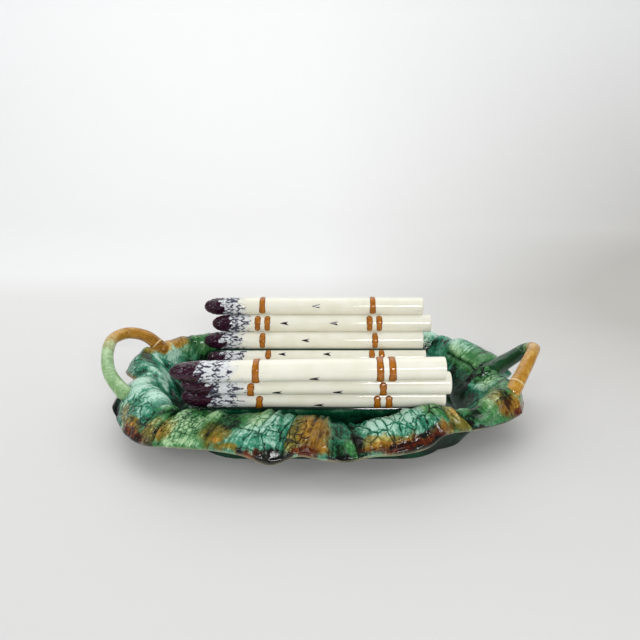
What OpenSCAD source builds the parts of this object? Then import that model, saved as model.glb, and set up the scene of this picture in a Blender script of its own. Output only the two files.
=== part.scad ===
// Asparagus plate in glazed earthenware: an oval dish on a foot, with a rim of savoy cabbage
// leaves and two stem handles, and a cradle made of a bound row of asparagus spears.
// Millimetres, +Z up, +X along the spears towards their cut ends, -Y at the front, origin on the
// table under the middle of the dish.

/* [Spears] */
// Length of a spear from its cut end to its tip
spear_l = 228; // [200:1:240]
// Diameter of a spear at its cut end
spear_d = 19.3; // [18.7:0.1:20.4]
// Diameter of a spear where its tip begins
neck_d = 18.5; // [17:0.1:18.5]
// Length of the scaly tip
tip_l = 40; // [30:1:50]
// Depth of each step between the rows of scales on a tip
scale_step = 0.6; // [0.55:0.05:0.8]
// Depth of the flat on each side of a spear's neck, where it is luted to its neighbour
seam_flat = 0.4; // [0.25:0.05:0.45]
// Lean of the cradle's walls from upright, in degrees
wall_lean = 23; // [17:1:28]
// Chamfer round a spear's cut end
cut_chamfer = 0.8; // [0.6:0.1:1.5]

/* [Ties and bracts] */
// Width of one stroke of the tie
stroke_w = 6; // [4:0.5:8]
// Height of the tie above the spear
stroke_h = 0.9; // [0.5:0.1:1.2]
// Distance between the middles of a double stroke
stroke_pitch = 10; // [9:0.5:13]
// Length of a bract, the small scale on a spear's side
bract_l = 9; // [6:0.5:12]
// Width of a bract
bract_w = 4.6; // [3:0.1:6]
// Height of a bract above the spear
bract_h = 0.6; // [0.4:0.1:1]

/* [Saddle] */
// Clay under the lowest spear
saddle_floor_t = 3.6; // [3:0.1:4.4]
// Clay outside the spear at the foot of each wall
saddle_wall_t = 2.6; // [2.2:0.1:3]
// Height of the saddle's edge above the middle of that spear
saddle_lip_h = 5; // [3:0.5:6]
// Length of the saddle
saddle_l = 192; // [170:1:204]
// Radius of the saddle's corners in plan
saddle_corner_r = 28; // [24:1:36]

/* [Dish] */
// Thickness of the dish's floor and wall
body_t = 5; // [4:0.1:6]
// Width of the channel between the saddle's edge and the foot of the rim
channel_w = 3.5; // [3:0.5:8]
// Length of the dish's floor beyond the middle half of the spears, at each end
basin_end = 13; // [8:1:18]
// Slope of the basin at each end, in plan, from the floor to the crest
basin_slope = 42; // [36:1:48]
// How far the leaves hang out past the crest at each end
end_fall = 21; // [18:1:24]
// Width of the leaf band at the front and rear, from the floor to the crest
band_w = 30; // [26:1:34]
// How far the leaves hang out past the crest at the front and rear
leaf_fall = 18; // [15:1:22]
// Height of the rim's crest above the table, at its highest corner
rim_h = 50; // [46:1:54]

/* [Leaves] */
// Thickness of a leaf
leaf_t = 3.6; // [3:0.1:4.2]
// Height of a leaf's swelling between its edges
leaf_swell = 3; // [2:0.1:4]
// Height of a leaf's midrib
rib_h = 1.4; // [0.6:0.1:1.8]
// Height of the puckers between a leaf's veins
pucker_h = 0.7; // [0.3:0.1:1]

/* [Foot] */
// Height of the foot ring
foot_h = 7.5; // [6:0.5:9]
// Width of the foot ring
foot_w = 8; // [6:0.5:10]
// How far the foot stands out past the edge of the floor, front and rear
foot_out = 10; // [7:0.5:11]
// How far the foot stands in from the edge of the floor, at each end
foot_in = 9; // [6:0.5:12]
// Radius of the foot ring's corners in plan
foot_corner_r = 48; // [40:1:60]

/* [Handles] */
// Diameter of a stem handle
stem_d = 12; // [10:0.1:13]
// Extra diameter of a stem at its roots
stem_flare = 2.6; // [1:0.1:4]

/* [Hidden] */
$fn = 64;
overrun = 1;

// Spears: four in each wall and five in the floor. Each step to the next spear has an angle
// below the horizontal, from the front wall's top to the middle of the floor, and is mirrored.
wall_spears = 4;
spear_total = 13;
first_floor = wall_spears;
last_floor = spear_total - 1 - wall_spears;
wall_dip = 90 - wall_lean;
half_dips = [wall_dip, wall_dip, wall_dip, 22, 8, 2];
dips = concat(half_dips, [for (i = [len(half_dips) - 1 : -1 : 0]) -half_dips[i]]);
spear_pitch = min(spear_d, neck_d) - 2 * seam_flat;

// Turn of each spear in the plane of its wall, in degrees: the front wall fans out at its cut end.
fans = [-1.2, -0.6, -0.2, 0, 0, 0, 0, 0, 0, 0, 0, 0, 0];

// Where the middle of each spear lies along X, as a share of its length: the row isn't cut straight.
spear_shift_shares = [-0.056, -0.026, -0.036, -0.043, -0.038, -0.050, -0.034, -0.048, -0.040,
                      -0.028, -0.040, -0.004, -0.040];
shift_x = [for (share = spear_shift_shares) spear_l * share];
saddle_x = spear_l * -0.053;

foot_to_floor = foot_h + body_t;
bundle_low = foot_to_floor + saddle_floor_t + spear_d / 2;
function drop_to(i) = i == 0 ? 0 : drop_to(i - 1) - spear_pitch * sin(dips[i - 1]);
function across_to(i) = i == 0 ? 0 : across_to(i - 1) + spear_pitch * cos(dips[i - 1]);
middle_spear = (spear_total - 1) / 2;
spear_y = [for (i = [0 : spear_total - 1]) across_to(i) - across_to(middle_spear)];
spear_z = [for (i = [0 : spear_total - 1]) bundle_low + drop_to(i) - drop_to(middle_spear)];

saddle_half_d = -spear_y[wall_spears - 1] + spear_d / 2 + saddle_wall_t;
saddle_top = spear_z[wall_spears - 1] + saddle_lip_h;

// Half sizes in plan of the floor's edge and of the leaves' hanging lip.
floor_half_l = max(spear_l, saddle_l - 2 * saddle_x) / 2 + basin_end;
floor_half_d = saddle_half_d + channel_w;
lip_half_l = floor_half_l + basin_slope + end_fall;
lip_half_d = floor_half_d + band_w + leaf_fall;
foot_half_l = floor_half_l - foot_in;
foot_half_d = floor_half_d + foot_out;
floor_roundness = 5;

// The rim, at every 10 degrees from the left end round the front: the leaves' hanging lip, then
// their crest. Each has its place along X, Y and Z as shares of the lip's half length, the lip's
// half depth and the rim's height. The rear is the front turned half way round.
station_step = 10;
rim_shares = [
    [-0.937, 0.000, 0.68, -0.842, 0.000, 0.88], [-1.000, -0.289, 0.54, -0.861, -0.248, 1.00],
    [-0.915, -0.546, 0.44, -0.778, -0.464, 0.98], [-0.802, -0.759, 0.48, -0.706, -0.667, 0.92],
    [-0.637, -0.876, 0.60, -0.573, -0.787, 0.92], [-0.474, -0.924, 0.62, -0.416, -0.812, 0.84],
    [-0.342, -0.971, 0.60, -0.291, -0.825, 0.80], [-0.221, -0.997, 0.46, -0.185, -0.834, 0.80],
    [-0.103, -0.959, 0.56, -0.087, -0.807, 0.80], [0.000, -1.000, 0.56, 0.000, -0.840, 0.80],
    [0.109, -1.010, 0.54, 0.091, -0.839, 0.78], [0.218, -0.980, 0.59, 0.178, -0.803, 0.80],
    [0.332, -0.940, 0.56, 0.272, -0.772, 0.84], [0.453, -0.884, 0.60, 0.363, -0.708, 0.88],
    [0.553, -0.759, 0.68, 0.470, -0.640, 0.88], [0.693, -0.665, 0.62, 0.610, -0.595, 0.84],
    [0.871, -0.519, 0.60, 0.783, -0.467, 0.94], [0.968, -0.280, 0.54, 0.892, -0.258, 0.96]];

// Rows of points from the floor's edge out to the lip, and which of them are the shoulder at the
// top of the wall, the crest, and the edge of the dish under the leaves.
rim_rows = 12;
shoulder_row = 3;
crest_row = 7;
body_rows = 9;
column_step = 3;
body_edge_t = body_t * 0.7;

// The leaves of one half, in order from the left end round the front: name, name of the leaf
// opposite, first and last angle, how much its swelling and its thickness depart from the usual,
// and where its midrib runs across it.
half_leaves = [
    ["left_front_corner_leaf", "right_rear_corner_leaf", 186, 213, 1.5, 1.15, 0.40],
    ["left_front_small_leaf", "right_rear_small_leaf", 213, 228, 1.0, 0.80, 0.50],
    ["front_left_leaf", "rear_right_leaf", 228, 255, 1.1, 1.10, 0.60],
    ["front_middle_leaf", "rear_middle_leaf", 255, 285, 1.2, 0.90, 0.45],
    ["front_right_leaf", "rear_left_leaf", 285, 321, 1.2, 1.10, 0.50],
    ["front_folded_leaf", "rear_folded_leaf", 321, 330, 0.8, 0.80, 0.50],
    ["right_front_corner_leaf", "left_rear_corner_leaf", 330, 366, 1.3, 1.05, 0.50]];
function opposite(leaf) = [leaf[1], leaf[0], leaf[2] - 180, leaf[3] - 180, leaf[4], leaf[5], leaf[6]];
leaves = concat(half_leaves, [for (leaf = half_leaves) opposite(leaf)]);

// The routes of the stem handles' centrelines, from root to root: shares of the lip's half
// length, the lip's half depth and the rim's height.
left_stem_shares = [[-0.940, -0.340, 0.90], [-1.010, -0.230, 1.04], [-1.053, -0.103, 1.17],
                    [-1.082, 0.069, 1.28], [-1.090, 0.240, 1.33], [-1.053, 0.370, 1.33],
                    [-0.989, 0.400, 1.30], [-0.926, 0.397, 1.20], [-0.860, 0.365, 1.02]];
right_stem_shares = [[0.905, -0.330, 0.90], [0.965, -0.210, 1.00], [1.020, -0.115, 1.12],
                     [1.068, -0.015, 1.24], [1.090, 0.080, 1.30], [1.065, 0.170, 1.22],
                     [0.985, 0.205, 1.04], [0.890, 0.200, 0.88]];
stem_sides = 12;
stem_steps = 3;

// Where the two ties cross the spears, as shares of the spear's length from the middle, and how
// many strokes each has on each spear, from the front wall's top to the rear wall's top. No two
// strokes line up: each is off by a share of its width.
tie_place_shares = [-0.262, 0.235];
tie_strokes = [[1, 1, 1, 1, 2, 1, 2, 1, 2, 1, 1, 2, 1], [2, 1, 2, 1, 2, 1, 2, 1, 2, 2, 1, 2, 1]];
tie_stagger_shares = [[1, 0, 1, -0.2, 0, 0.3, 0, -0.3, 0, 0.7, -0.3, -0.3, -0.3],
                      [-0.2, -0.4, -0.2, -0.2, 0, 0.3, 0, -0.3, 0, 0.5, 0.2, 0.1, -0.2]];

// Where the bracts sit on each spear, as shares of its length from the middle.
bract_shares = [[-0.027], [-0.164, 0.058], [-0.011], [-0.10, 0.09], [0.03], [-0.13], [0.01],
                [-0.09, 0.10], [0.05], [-0.18, 0.022], [-0.074], [-0.17, 0.054], [-0.027]];

spear_names = ["front_spear_1", "front_spear_2", "front_spear_3", "front_spear_4", "floor_spear_1",
               "floor_spear_2", "floor_spear_3", "floor_spear_4", "floor_spear_5", "rear_spear_4",
               "rear_spear_3", "rear_spear_2", "rear_spear_1"];

// Curves and small helpers

function mix(a, b, w) = a * (1 - w) + b * w;
function unit(v) = v / norm(v);
function raised(plan, z) = [plan[0], plan[1], z];
function flatten(lists) = [for (list = lists) each list];

function hermite(p, q, slope_p, slope_q, w) =
    p * (1 + 2 * w) * (1 - w) * (1 - w) + q * w * w * (3 - 2 * w)
    + slope_p * w * (1 - w) * (1 - w) - slope_q * w * w * (1 - w);

// A smooth curve through four points that lie at the given rows.
function chain(points, rows, start_slope, end_slope, row) =
    let (k = row <= rows[1] ? 0 : row <= rows[2] ? 1 : 2,
         span = rows[k + 1] - rows[k],
         before = k == 0 ? start_slope : (points[k + 1] - points[k - 1]) / (rows[k + 1] - rows[k - 1]),
         after = k == 2 ? end_slope : (points[k + 2] - points[k]) / (rows[k + 2] - rows[k]))
    hermite(points[k], points[k + 1], before * span, after * span, (row - rows[k]) / span);

// The rim's surfaces

function oval_reach(half_l, half_d, roundness, angle) =
    let (across = pow(abs(cos(angle)) / half_l, roundness),
         deep = pow(abs(sin(angle)) / half_d, roundness))
    pow(across + deep, -1 / roundness);
function oval(half_l, half_d, angle) =
    oval_reach(half_l, half_d, floor_roundness, angle) * [cos(angle), sin(angle)];

half_stations = len(rim_shares);
function station(k, column) =
    let (i = (k % (2 * half_stations) + 2 * half_stations) % (2 * half_stations),
         row = rim_shares[i % half_stations],
         turn = i < half_stations ? 1 : -1)
    [turn * row[column] * lip_half_l, turn * row[column + 1] * lip_half_d, row[column + 2] * rim_h];

// A place on the lip (column 0) or on the crest (column 3) at any angle.
function rim_place(angle, column) =
    let (q = (angle - 180) / station_step,
         k = floor(q),
         a = station(k - 1, column),
         b = station(k, column),
         c = station(k + 1, column),
         d = station(k + 2, column))
    hermite(b, c, (c - a) / 2, (d - b) / 2, q - k);

// The leaves' tops follow the crest and the lip, so the surface under them lies a leaf lower.
leaf_under = [0, 0, leaf_t + leaf_swell / 2];
function floor_edge(angle) = raised(oval(floor_half_l, floor_half_d, angle), foot_to_floor);
function crest(angle) = rim_place(angle, 3) - leaf_under;
function lip(angle) = rim_place(angle, 0) - leaf_under * 0.4;
function frontness(angle) = pow(abs(sin(angle)), 3);
function shoulder(angle) =
    let (f = floor_edge(angle),
         rise = crest(angle) - f,
         out = mix(0.6, 0.28, frontness(angle)),
         up = mix(0.4, 0.78, frontness(angle)))
    f + [rise[0] * out, rise[1] * out, rise[2] * up];

// The surface that the leaves lie on: level at the floor's edge, up the wall to the shoulder and
// the crest, then down to the lip. Rows are counted outwards and may be fractions.
bed_rows = [0, shoulder_row, crest_row, rim_rows];
function bed(angle, row) =
    let (f = floor_edge(angle),
         s = shoulder(angle),
         c = crest(angle),
         l = lip(angle),
         level = [s[0] - f[0], s[1] - f[1], 0] / shoulder_row,
         fall = (l - c) / (rim_rows - crest_row))
    chain([f, s, c, l], bed_rows, level, [fall[0] * 0.7, fall[1] * 0.7, fall[2] * 1.6], row);

function bed_normal(angle, row) =
    let (along = bed(angle + 0.5, row) - bed(angle - 0.5, row),
         out = bed(angle, min(row + 0.2, rim_rows)) - bed(angle, max(row - 0.2, 0)))
    unit(cross(out, along));

// The underside of the dish, from the edge of the flat that the foot stands on.
under_rows = [0, shoulder_row, crest_row, body_rows];
function underside(angle, row) =
    let (start = raised(oval(floor_half_l + body_t, foot_half_d + overrun, angle), foot_h),
         s = shoulder(angle),
         out = unit([s[0], s[1]]) * body_t,
         wall = s + [out[0], out[1], -body_t],
         c = crest(angle) - [0, 0, body_t],
         e = bed(angle, body_rows) - [0, 0, body_edge_t])
    chain([start, wall, c, e], under_rows, [0, 0, 0], (e - c) / (body_rows - crest_row), row);

// How far a leaf's upper face stands over the bed: its thickness, thin where it runs into the
// floor, its swelling between its edges, its midrib, and the puckers between its veins.
function leaf_height(leaf, angle, row) =
    let (u = (angle - leaf[2]) / (leaf[3] - leaf[2]),
         v = row / rim_rows,
         between = sin(180 * u),
         along = sin(180 * min(v, 0.98)),
         thickness = leaf_t * leaf[5] * min(1, 0.25 + 4 * v) * (1 - 0.3 * pow(v, 4)),
         swelling = leaf_swell * leaf[4] * pow(between, 0.7) * along,
         midrib = rib_h * exp(-pow((u - leaf[6]) * 8, 2)) * along,
         puckers = pucker_h * sin(1080 * u) * sin(900 * v) * between)
    thickness + swelling + midrib + puckers;

// Faces between two rows of points that lie one behind the other in a list.
function strip(first, next, count, closed, flip) =
    [for (k = [0 : count - (closed ? 1 : 2)])
        let (m = (k + 1) % count)
        each flip ? [[first + k, next + k, first + m], [first + m, next + k, next + m]]
                  : [[first + k, first + m, next + k], [first + m, next + m, next + k]]];
function edge_pair(a, b, lift) = [[a, a + lift, b], [b, a + lift, b + lift]];

// Pieces

// A rectangle with round corners, about the origin.
module round_plate(half_l, half_d, corner_r) {
    square([2 * half_l - 2 * corner_r, 2 * half_d], center = true);
    square([2 * half_l, 2 * half_d - 2 * corner_r], center = true);
    for (x = [-1, 1])
        for (y = [-1, 1])
            translate([x * (half_l - corner_r), y * (half_d - corner_r)]) circle(corner_r);
}

module foot_ring() {
    color("darkgreen") linear_extrude(foot_h) difference() {
        round_plate(foot_half_l, foot_half_d, foot_corner_r);
        round_plate(foot_half_l - foot_w, foot_half_d - foot_w, foot_corner_r - foot_w);
    }
}

// The dish under the leaves: a floor, a wall whose upper face is the bed, and its underside.
module dish_body() {
    angles = [for (a = [0 : column_step : 360 - column_step]) a];
    under_steps = [0, 2, shoulder_row + 1, crest_row - 1, crest_row, body_rows];
    n = len(angles);
    inside = [for (row = [0 : body_rows]) for (a = angles) bed(a, row)];
    outside = [for (row = under_steps) for (a = angles) underside(a, row)];
    middle = [[0, 0, foot_to_floor], [0, 0, foot_h]];
    base = len(inside);
    centre = base + len(outside);
    last_ring = base + (len(under_steps) - 1) * n;
    faces = concat(
        [for (k = [0 : n - 1]) [centre, (k + 1) % n, k]],
        flatten([for (r = [0 : body_rows - 1]) strip(r * n, (r + 1) * n, n, true, false)]),
        strip(body_rows * n, last_ring, n, true, false),
        flatten([for (r = [0 : len(under_steps) - 2])
            strip(base + r * n, base + (r + 1) * n, n, true, true)]),
        [for (k = [0 : n - 1]) [centre + 1, base + k, base + (k + 1) % n]]);
    color("seagreen") polyhedron(concat(inside, outside, middle), faces);
}

// A leaf's solid: its lower face on the bed or sunk below it, its upper face, and four edges.
module leaf_solid(leaf, sunk) {
    angles = [for (a = [leaf[2] : column_step : leaf[3]]) a];
    under = [for (row = [0 : rim_rows]) for (a = angles) bed(a, row) - [0, 0, sunk]];
    over = [for (row = [0 : rim_rows]) for (a = angles)
        bed(a, row) + bed_normal(a, row) * leaf_height(leaf, a, row)];
    n = len(angles);
    top = len(under);
    outer = rim_rows * n;
    faces = concat(
        flatten([for (r = [0 : rim_rows - 1]) strip(r * n, (r + 1) * n, n, false, true)]),
        flatten([for (r = [0 : rim_rows - 1]) strip(top + r * n, top + (r + 1) * n, n, false, false)]),
        flatten([for (k = [0 : n - 2]) edge_pair(k + 1, k, top)]),
        flatten([for (k = [0 : n - 2]) edge_pair(outer + k, outer + k + 1, top)]),
        flatten([for (r = [0 : rim_rows - 1]) edge_pair(r * n, (r + 1) * n, top)]),
        flatten([for (r = [0 : rim_rows - 1]) edge_pair((r + 2) * n - 1, (r + 1) * n - 1, top)]));
    polyhedron(concat(under, over), faces);
}

module leaf(leaf) {
    color("mediumaquamarine") leaf_solid(leaf, 0);
}

// Radius of a spear's shaft at a height above its cut end.
shaft_l = spear_l - tip_l;
function shaft_r(z) = mix(spear_d, neck_d, z / shaft_l) / 2;

// A spear's outline from its axis outwards, standing on its cut end: a tapering shaft, then rows
// of scales that step in towards a round point.
scale_rows = 5;
function tip_r(w) = neck_d / 2 * sqrt(1 - 0.86 * w * w);
function spear_outline() =
    concat([[0, 0], [spear_d / 2 - cut_chamfer, 0], [shaft_r(cut_chamfer), cut_chamfer],
            [neck_d / 2, shaft_l]],
           [for (k = [1 : scale_rows])
               let (w = k / (scale_rows + 1), z = shaft_l + tip_l * w)
               each [[tip_r(w), z], [tip_r(w) - scale_step, z]]],
           [for (a = [40 : 25 : 90]) [tip_r(0.92) * 0.8 * cos(a) / cos(40),
                                     shaft_l + tip_l * mix(0.9, 1, sin(a))]]);

// Places a spear's own upright axis: cut end to the right, tip to the left.
module on_spear(i) {
    dip = dips[min(i, spear_total - 2)];
    translate([shift_x[i], spear_y[i], spear_z[i]])
        rotate([-dip, 0, 0]) rotate([0, 0, fans[i]]) rotate([dip, 0, 0])
            rotate([0, -90, 0]) translate([0, 0, -spear_l / 2]) children();
}

// A long block that begins on the seam between spears j and j + 1, on the side asked for.
module beyond_seam(j, side) {
    far = 2 * spear_l;
    depth = 2 * spear_d;
    translate([0, spear_y[j] + spear_y[j + 1], spear_z[j] + spear_z[j + 1]] / 2)
        rotate([-dips[j], 0, 0]) rotate([0, 0, (fans[j] + fans[j + 1]) / 2])
            translate([-far / 2, side > 0 ? 0 : -depth, -depth]) cube([far, depth, 2 * depth]);
}

module spear(i) {
    color("ivory") difference() {
        on_spear(i) rotate_extrude() polygon(spear_outline());
        if (i > 0) beyond_seam(i - 1, -1);
        if (i < spear_total - 1) beyond_seam(i, 1);
    }
}

// The open faces of a spear, as ranges of angle round it from +Y towards +Z: its face inside the
// cradle, and in the walls its outer face. The top spears have one face that goes over the top.
seam_angle = acos((spear_pitch / 2) / (spear_d / 2)) + 5;
function to_next(i) = -dips[i];
function to_last(i) = 180 - dips[i - 1];
function open_faces(i) =
    i == 0 ? [[to_next(i) + seam_angle, to_next(i) + 360 - seam_angle]]
    : i == spear_total - 1 ? [[to_last(i) - 360 + seam_angle, to_last(i) - seam_angle]]
    : let (inner = [to_next(i) + seam_angle, to_last(i) - seam_angle],
           outer = [to_last(i) + seam_angle, to_next(i) + 360 - seam_angle],
           buried = i >= first_floor - 1 && i <= last_floor + 1)
      buried ? [inner] : [inner, outer];

// A band round part of a spear: from one height to another, over one range of angles.
module band(face, z0, z1, height) {
    rotate([0, 0, 90 - face[1]]) rotate_extrude(angle = face[1] - face[0])
        polygon([[shaft_r(z0), z0], [shaft_r(z0) + height, z0 + height],
                 [shaft_r(z1) + height, z1 - height], [shaft_r(z1), z1]]);
}

// Height above the cut end of a place that is given along X.
function height_of(i, x) = spear_l / 2 + shift_x[i] - x;

module tie(end) {
    color("sienna") for (i = [0 : spear_total - 1]) {
        strokes = tie_strokes[end][i];
        for (k = [0 : strokes - 1]) {
            x = spear_l * tie_place_shares[end] + stroke_w * tie_stagger_shares[end][i]
                + (k - (strokes - 1) / 2) * stroke_pitch;
            z = height_of(i, x);
            on_spear(i) for (face = open_faces(i))
                band(face, z - stroke_w / 2, z + stroke_w / 2, stroke_h);
        }
    }
}

// Angles round a spear at which its bracts sit: the middle of each open face, and on the top
// spears the two sides of the wall.
function bract_angles(i) =
    i == 0 ? [to_next(i) + 90, to_next(i) + 270]
    : i == spear_total - 1 ? [to_last(i) - 90, to_last(i) - 270]
    : [for (face = open_faces(i)) (face[0] + face[1]) / 2];

// A bract: a notched triangle of raised clay.
bract_turn = 40;
module bract(middle, z) {
    intersection() {
        rotate([0, 0, 90 - middle - bract_turn / 2]) rotate_extrude(angle = bract_turn)
            polygon([[shaft_r(z - bract_l), z - bract_l], [shaft_r(z - bract_l) + bract_h, z - bract_l],
                     [shaft_r(z + bract_l) + bract_h, z + bract_l], [shaft_r(z + bract_l), z + bract_l]]);
        rotate([0, 0, 90 - middle]) translate([0, 0, z]) rotate([90, 0, 90]) linear_extrude(spear_d)
            polygon([[0, bract_l / 2], [bract_w / 2, -bract_l / 2], [0, -bract_l / 4],
                     [-bract_w / 2, -bract_l / 2]]);
    }
}

module spear_bracts() {
    color("indigo") for (i = [0 : spear_total - 1])
        for (share = bract_shares[i])
            on_spear(i) for (angle = bract_angles(i)) bract(angle, height_of(i, spear_l * share));
}

// The saddle that carries the row: a block of clay with a groove for each spear that lies in it.
module cradle_saddle() {
    low = wall_spears - 1;
    base_half_d = -spear_y[low];
    rim_half_d = saddle_half_d - saddle_wall_t;
    color("seagreen") difference() {
        intersection() {
            translate([saddle_x, 0, 0]) linear_extrude(saddle_top)
                round_plate(saddle_l / 2, saddle_half_d, saddle_corner_r);
            rotate([90, 0, 90]) linear_extrude(2 * spear_l, center = true)
                polygon([[-base_half_d, foot_to_floor], [base_half_d, foot_to_floor],
                         [saddle_half_d, spear_z[low]], [saddle_half_d, saddle_top],
                         [-saddle_half_d, saddle_top], [-saddle_half_d, spear_z[low]]]);
        }
        for (i = [low : last_floor + 1]) on_spear(i) rotate_extrude() polygon(spear_outline());
        rotate([90, 0, 90]) linear_extrude(2 * spear_l, center = true)
            polygon(concat([for (i = [low : last_floor + 1]) [spear_y[i], spear_z[i]]],
                           [[rim_half_d, spear_z[low]], [rim_half_d, saddle_top + overrun],
                            [-rim_half_d, saddle_top + overrun], [-rim_half_d, spear_z[low]]]));
    }
}

// A stem's route in millimetres, smooth through its points.
function stem_points(shares) = [for (s = shares) [s[0] * lip_half_l, s[1] * lip_half_d, s[2] * rim_h]];
function route_point(points, q) =
    let (last = len(points) - 1,
         i = min(floor(q), last - 1),
         a = points[max(i - 1, 0)],
         b = points[i],
         c = points[i + 1],
         d = points[min(i + 2, last)])
    hermite(b, c, (c - a) / 2, (d - b) / 2, q - i);

// One stem: rings of points round its route, closed by a flat at each end.
module stem(shares) {
    points = stem_points(shares);
    last = len(points) - 1;
    rings = last * stem_steps;
    skin = [for (k = [0 : rings])
        let (q = k / stem_steps,
             at = route_point(points, q),
             ahead = unit(route_point(points, min(q + 0.1, last)) - route_point(points, max(q - 0.1, 0))),
             side = unit(cross([0, 0, 1], ahead)),
             up = cross(ahead, side),
             r = (stem_d + stem_flare * pow(abs(2 * k / rings - 1), 4)) / 2)
        for (j = [0 : stem_sides - 1])
            at + r * (cos(360 * j / stem_sides) * side + sin(360 * j / stem_sides) * up)];
    faces = concat(
        flatten([for (k = [0 : rings - 1])
            strip(k * stem_sides, (k + 1) * stem_sides, stem_sides, true, true)]),
        [[for (j = [0 : stem_sides - 1]) j]],
        [[for (j = [0 : stem_sides - 1]) rings * stem_sides + stem_sides - 1 - j]]);
    polyhedron(skin, faces);
}

// The stems end on the leaves that carry them.
module left_handle() {
    color("darkkhaki") difference() {
        stem(left_stem_shares);
        leaf_solid(leaves[0], stem_d);
        leaf_solid(leaves[13], stem_d);
    }
}

module right_handle() {
    color("peru") difference() {
        stem(right_stem_shares);
        leaf_solid(leaves[6], stem_d);
        leaf_solid(leaves[7], stem_d);
    }
}

foot_ring();
dish_body();
cradle_saddle();
left_handle();
right_handle();
tie(0);  // tip_end_tie
tie(1);  // cut_end_tie
spear_bracts();
for (i = [0 : spear_total - 1]) spear(i);
for (leaf = leaves) leaf(leaf);
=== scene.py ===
# %% [markdown]
# # An asparagus dish in coloured glazes
#
# The dish is earthenware, pressed and modelled by hand and then painted with thick coloured glazes.
# An oval body stands on a foot, savoy cabbage leaves hang over its rim, two stems make the handles,
# and a row of asparagus spears, bound with withies, makes a cradle for the cooked vegetable.
#
# The construction model gives every piece its size and place. This lesson dresses it: each leaf,
# spear and tie gets the surface that fingers, tools and runny glaze leave behind.

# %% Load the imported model
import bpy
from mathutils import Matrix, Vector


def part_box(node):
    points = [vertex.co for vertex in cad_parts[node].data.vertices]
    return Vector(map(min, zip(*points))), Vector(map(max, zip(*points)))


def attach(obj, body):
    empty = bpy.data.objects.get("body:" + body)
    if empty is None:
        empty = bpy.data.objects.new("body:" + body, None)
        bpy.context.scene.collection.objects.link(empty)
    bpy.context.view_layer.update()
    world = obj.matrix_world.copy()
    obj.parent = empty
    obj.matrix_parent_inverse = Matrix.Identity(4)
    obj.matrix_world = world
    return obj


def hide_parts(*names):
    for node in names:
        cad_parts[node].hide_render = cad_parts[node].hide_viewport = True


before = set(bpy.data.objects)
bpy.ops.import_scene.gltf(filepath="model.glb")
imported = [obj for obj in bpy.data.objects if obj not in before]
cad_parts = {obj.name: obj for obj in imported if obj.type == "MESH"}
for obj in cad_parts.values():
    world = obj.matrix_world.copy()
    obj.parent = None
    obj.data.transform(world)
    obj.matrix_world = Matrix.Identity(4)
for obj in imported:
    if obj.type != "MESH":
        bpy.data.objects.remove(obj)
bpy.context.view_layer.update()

# %% The tools of the lesson
import math

import bmesh
import bpy
import numpy as np
from mathutils import Vector, noise

mm = 0.001

# %% [markdown]
# ## The table, the light and the camera
#
# The dish stands on a pale table in a bright room. Its shadow falls forwards, so the large soft
# light hangs above and behind it. A weaker one in front fills the leaves, and a small one brightens
# the left side. The camera looks a little down along the dish's short side, from 0.6 m away.

# %% A colour as it looks on a screen, turned into the linear light that a shader wants
def tint(red, green, blue):
    shares = [value / 255 for value in (red, green, blue)]
    return tuple(s / 12.92 if s <= 0.04045 else ((s + 0.055) / 1.055) ** 2.4 for s in shares) + (1,)


# %% A node, its fields and its inputs in one line
def add_node(tree, kind, inputs=None, **fields):
    made = tree.nodes.new(kind)
    for field, value in fields.items():
        setattr(made, field, value)
    for socket, value in (inputs or {}).items():
        if isinstance(value, bpy.types.NodeSocket):
            tree.links.new(value, made.inputs[socket])
        else:
            made.inputs[socket].default_value = value
    return made


# %% Sums, products and mixes, in the tree that their sockets belong to
def math_node(operation, first, second, clamp=False):
    tree = (first if isinstance(first, bpy.types.NodeSocket) else second).id_data
    made = add_node(tree, "ShaderNodeMath", {0: first, 1: second}, operation=operation, use_clamp=clamp)
    return made.outputs[0]


def plus(first, second, clamp=False):
    return math_node("ADD", first, second, clamp)


def minus(first, second, clamp=False):
    return math_node("SUBTRACT", first, second, clamp)


def times(first, second):
    return math_node("MULTIPLY", first, second)


def share_of(value, low, high):
    """0 below low, 1 above high, and smooth between."""
    marks = {0: value, 1: low, 2: high}
    made = add_node(value.id_data, "ShaderNodeMapRange", marks, interpolation_type="SMOOTHSTEP")
    return made.outputs[0]


def blend(share, low, high):
    inputs = {0: share, 6: low, 7: high}
    return add_node(share.id_data, "ShaderNodeMix", inputs, data_type="RGBA").outputs[2]


# %% Camera, fitted to where the spears, the rim and the foot stand in the picture
camera = bpy.data.objects.new("camera", bpy.data.cameras.new("camera"))
bpy.context.scene.collection.objects.link(camera)
camera.location = (0, -513 * mm, 312.6 * mm)
camera.rotation_euler = (math.radians(67.4), 0, 0)
camera.data.sensor_width = 36
camera.data.lens = 33.75
camera.data.shift_x = -2 / 640
bpy.context.scene.camera = camera
bpy.context.scene.view_settings.view_transform = "Standard"

# %% Table and backdrop in one curved sheet
table_w, table_d, backdrop_h, sweep_r = 4.0, 2.6, 2.4, 0.5
sweep_steps = 12
bm = bmesh.new()
profile = [(-table_d / 2, 0)]
profile += [(table_d / 2 - sweep_r + sweep_r * math.sin(a), sweep_r - sweep_r * math.cos(a))
            for a in [math.pi / 2 * k / sweep_steps for k in range(sweep_steps + 1)]]
profile += [(table_d / 2, backdrop_h)]
edge = [bm.verts.new((-table_w / 2, y, z)) for y, z in profile]
edges = [bm.edges.new(pair) for pair in zip(edge, edge[1:])]
side = bmesh.ops.extrude_edge_only(bm, edges=edges)["geom"]
bmesh.ops.translate(bm, verts=[v for v in side if isinstance(v, bmesh.types.BMVert)], vec=(table_w, 0, 0))
bmesh.ops.recalc_face_normals(bm, faces=bm.faces)
table_mesh = bpy.data.meshes.new("table")
bm.to_mesh(table_mesh)
bm.free()
table_mesh.shade_smooth()
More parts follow.
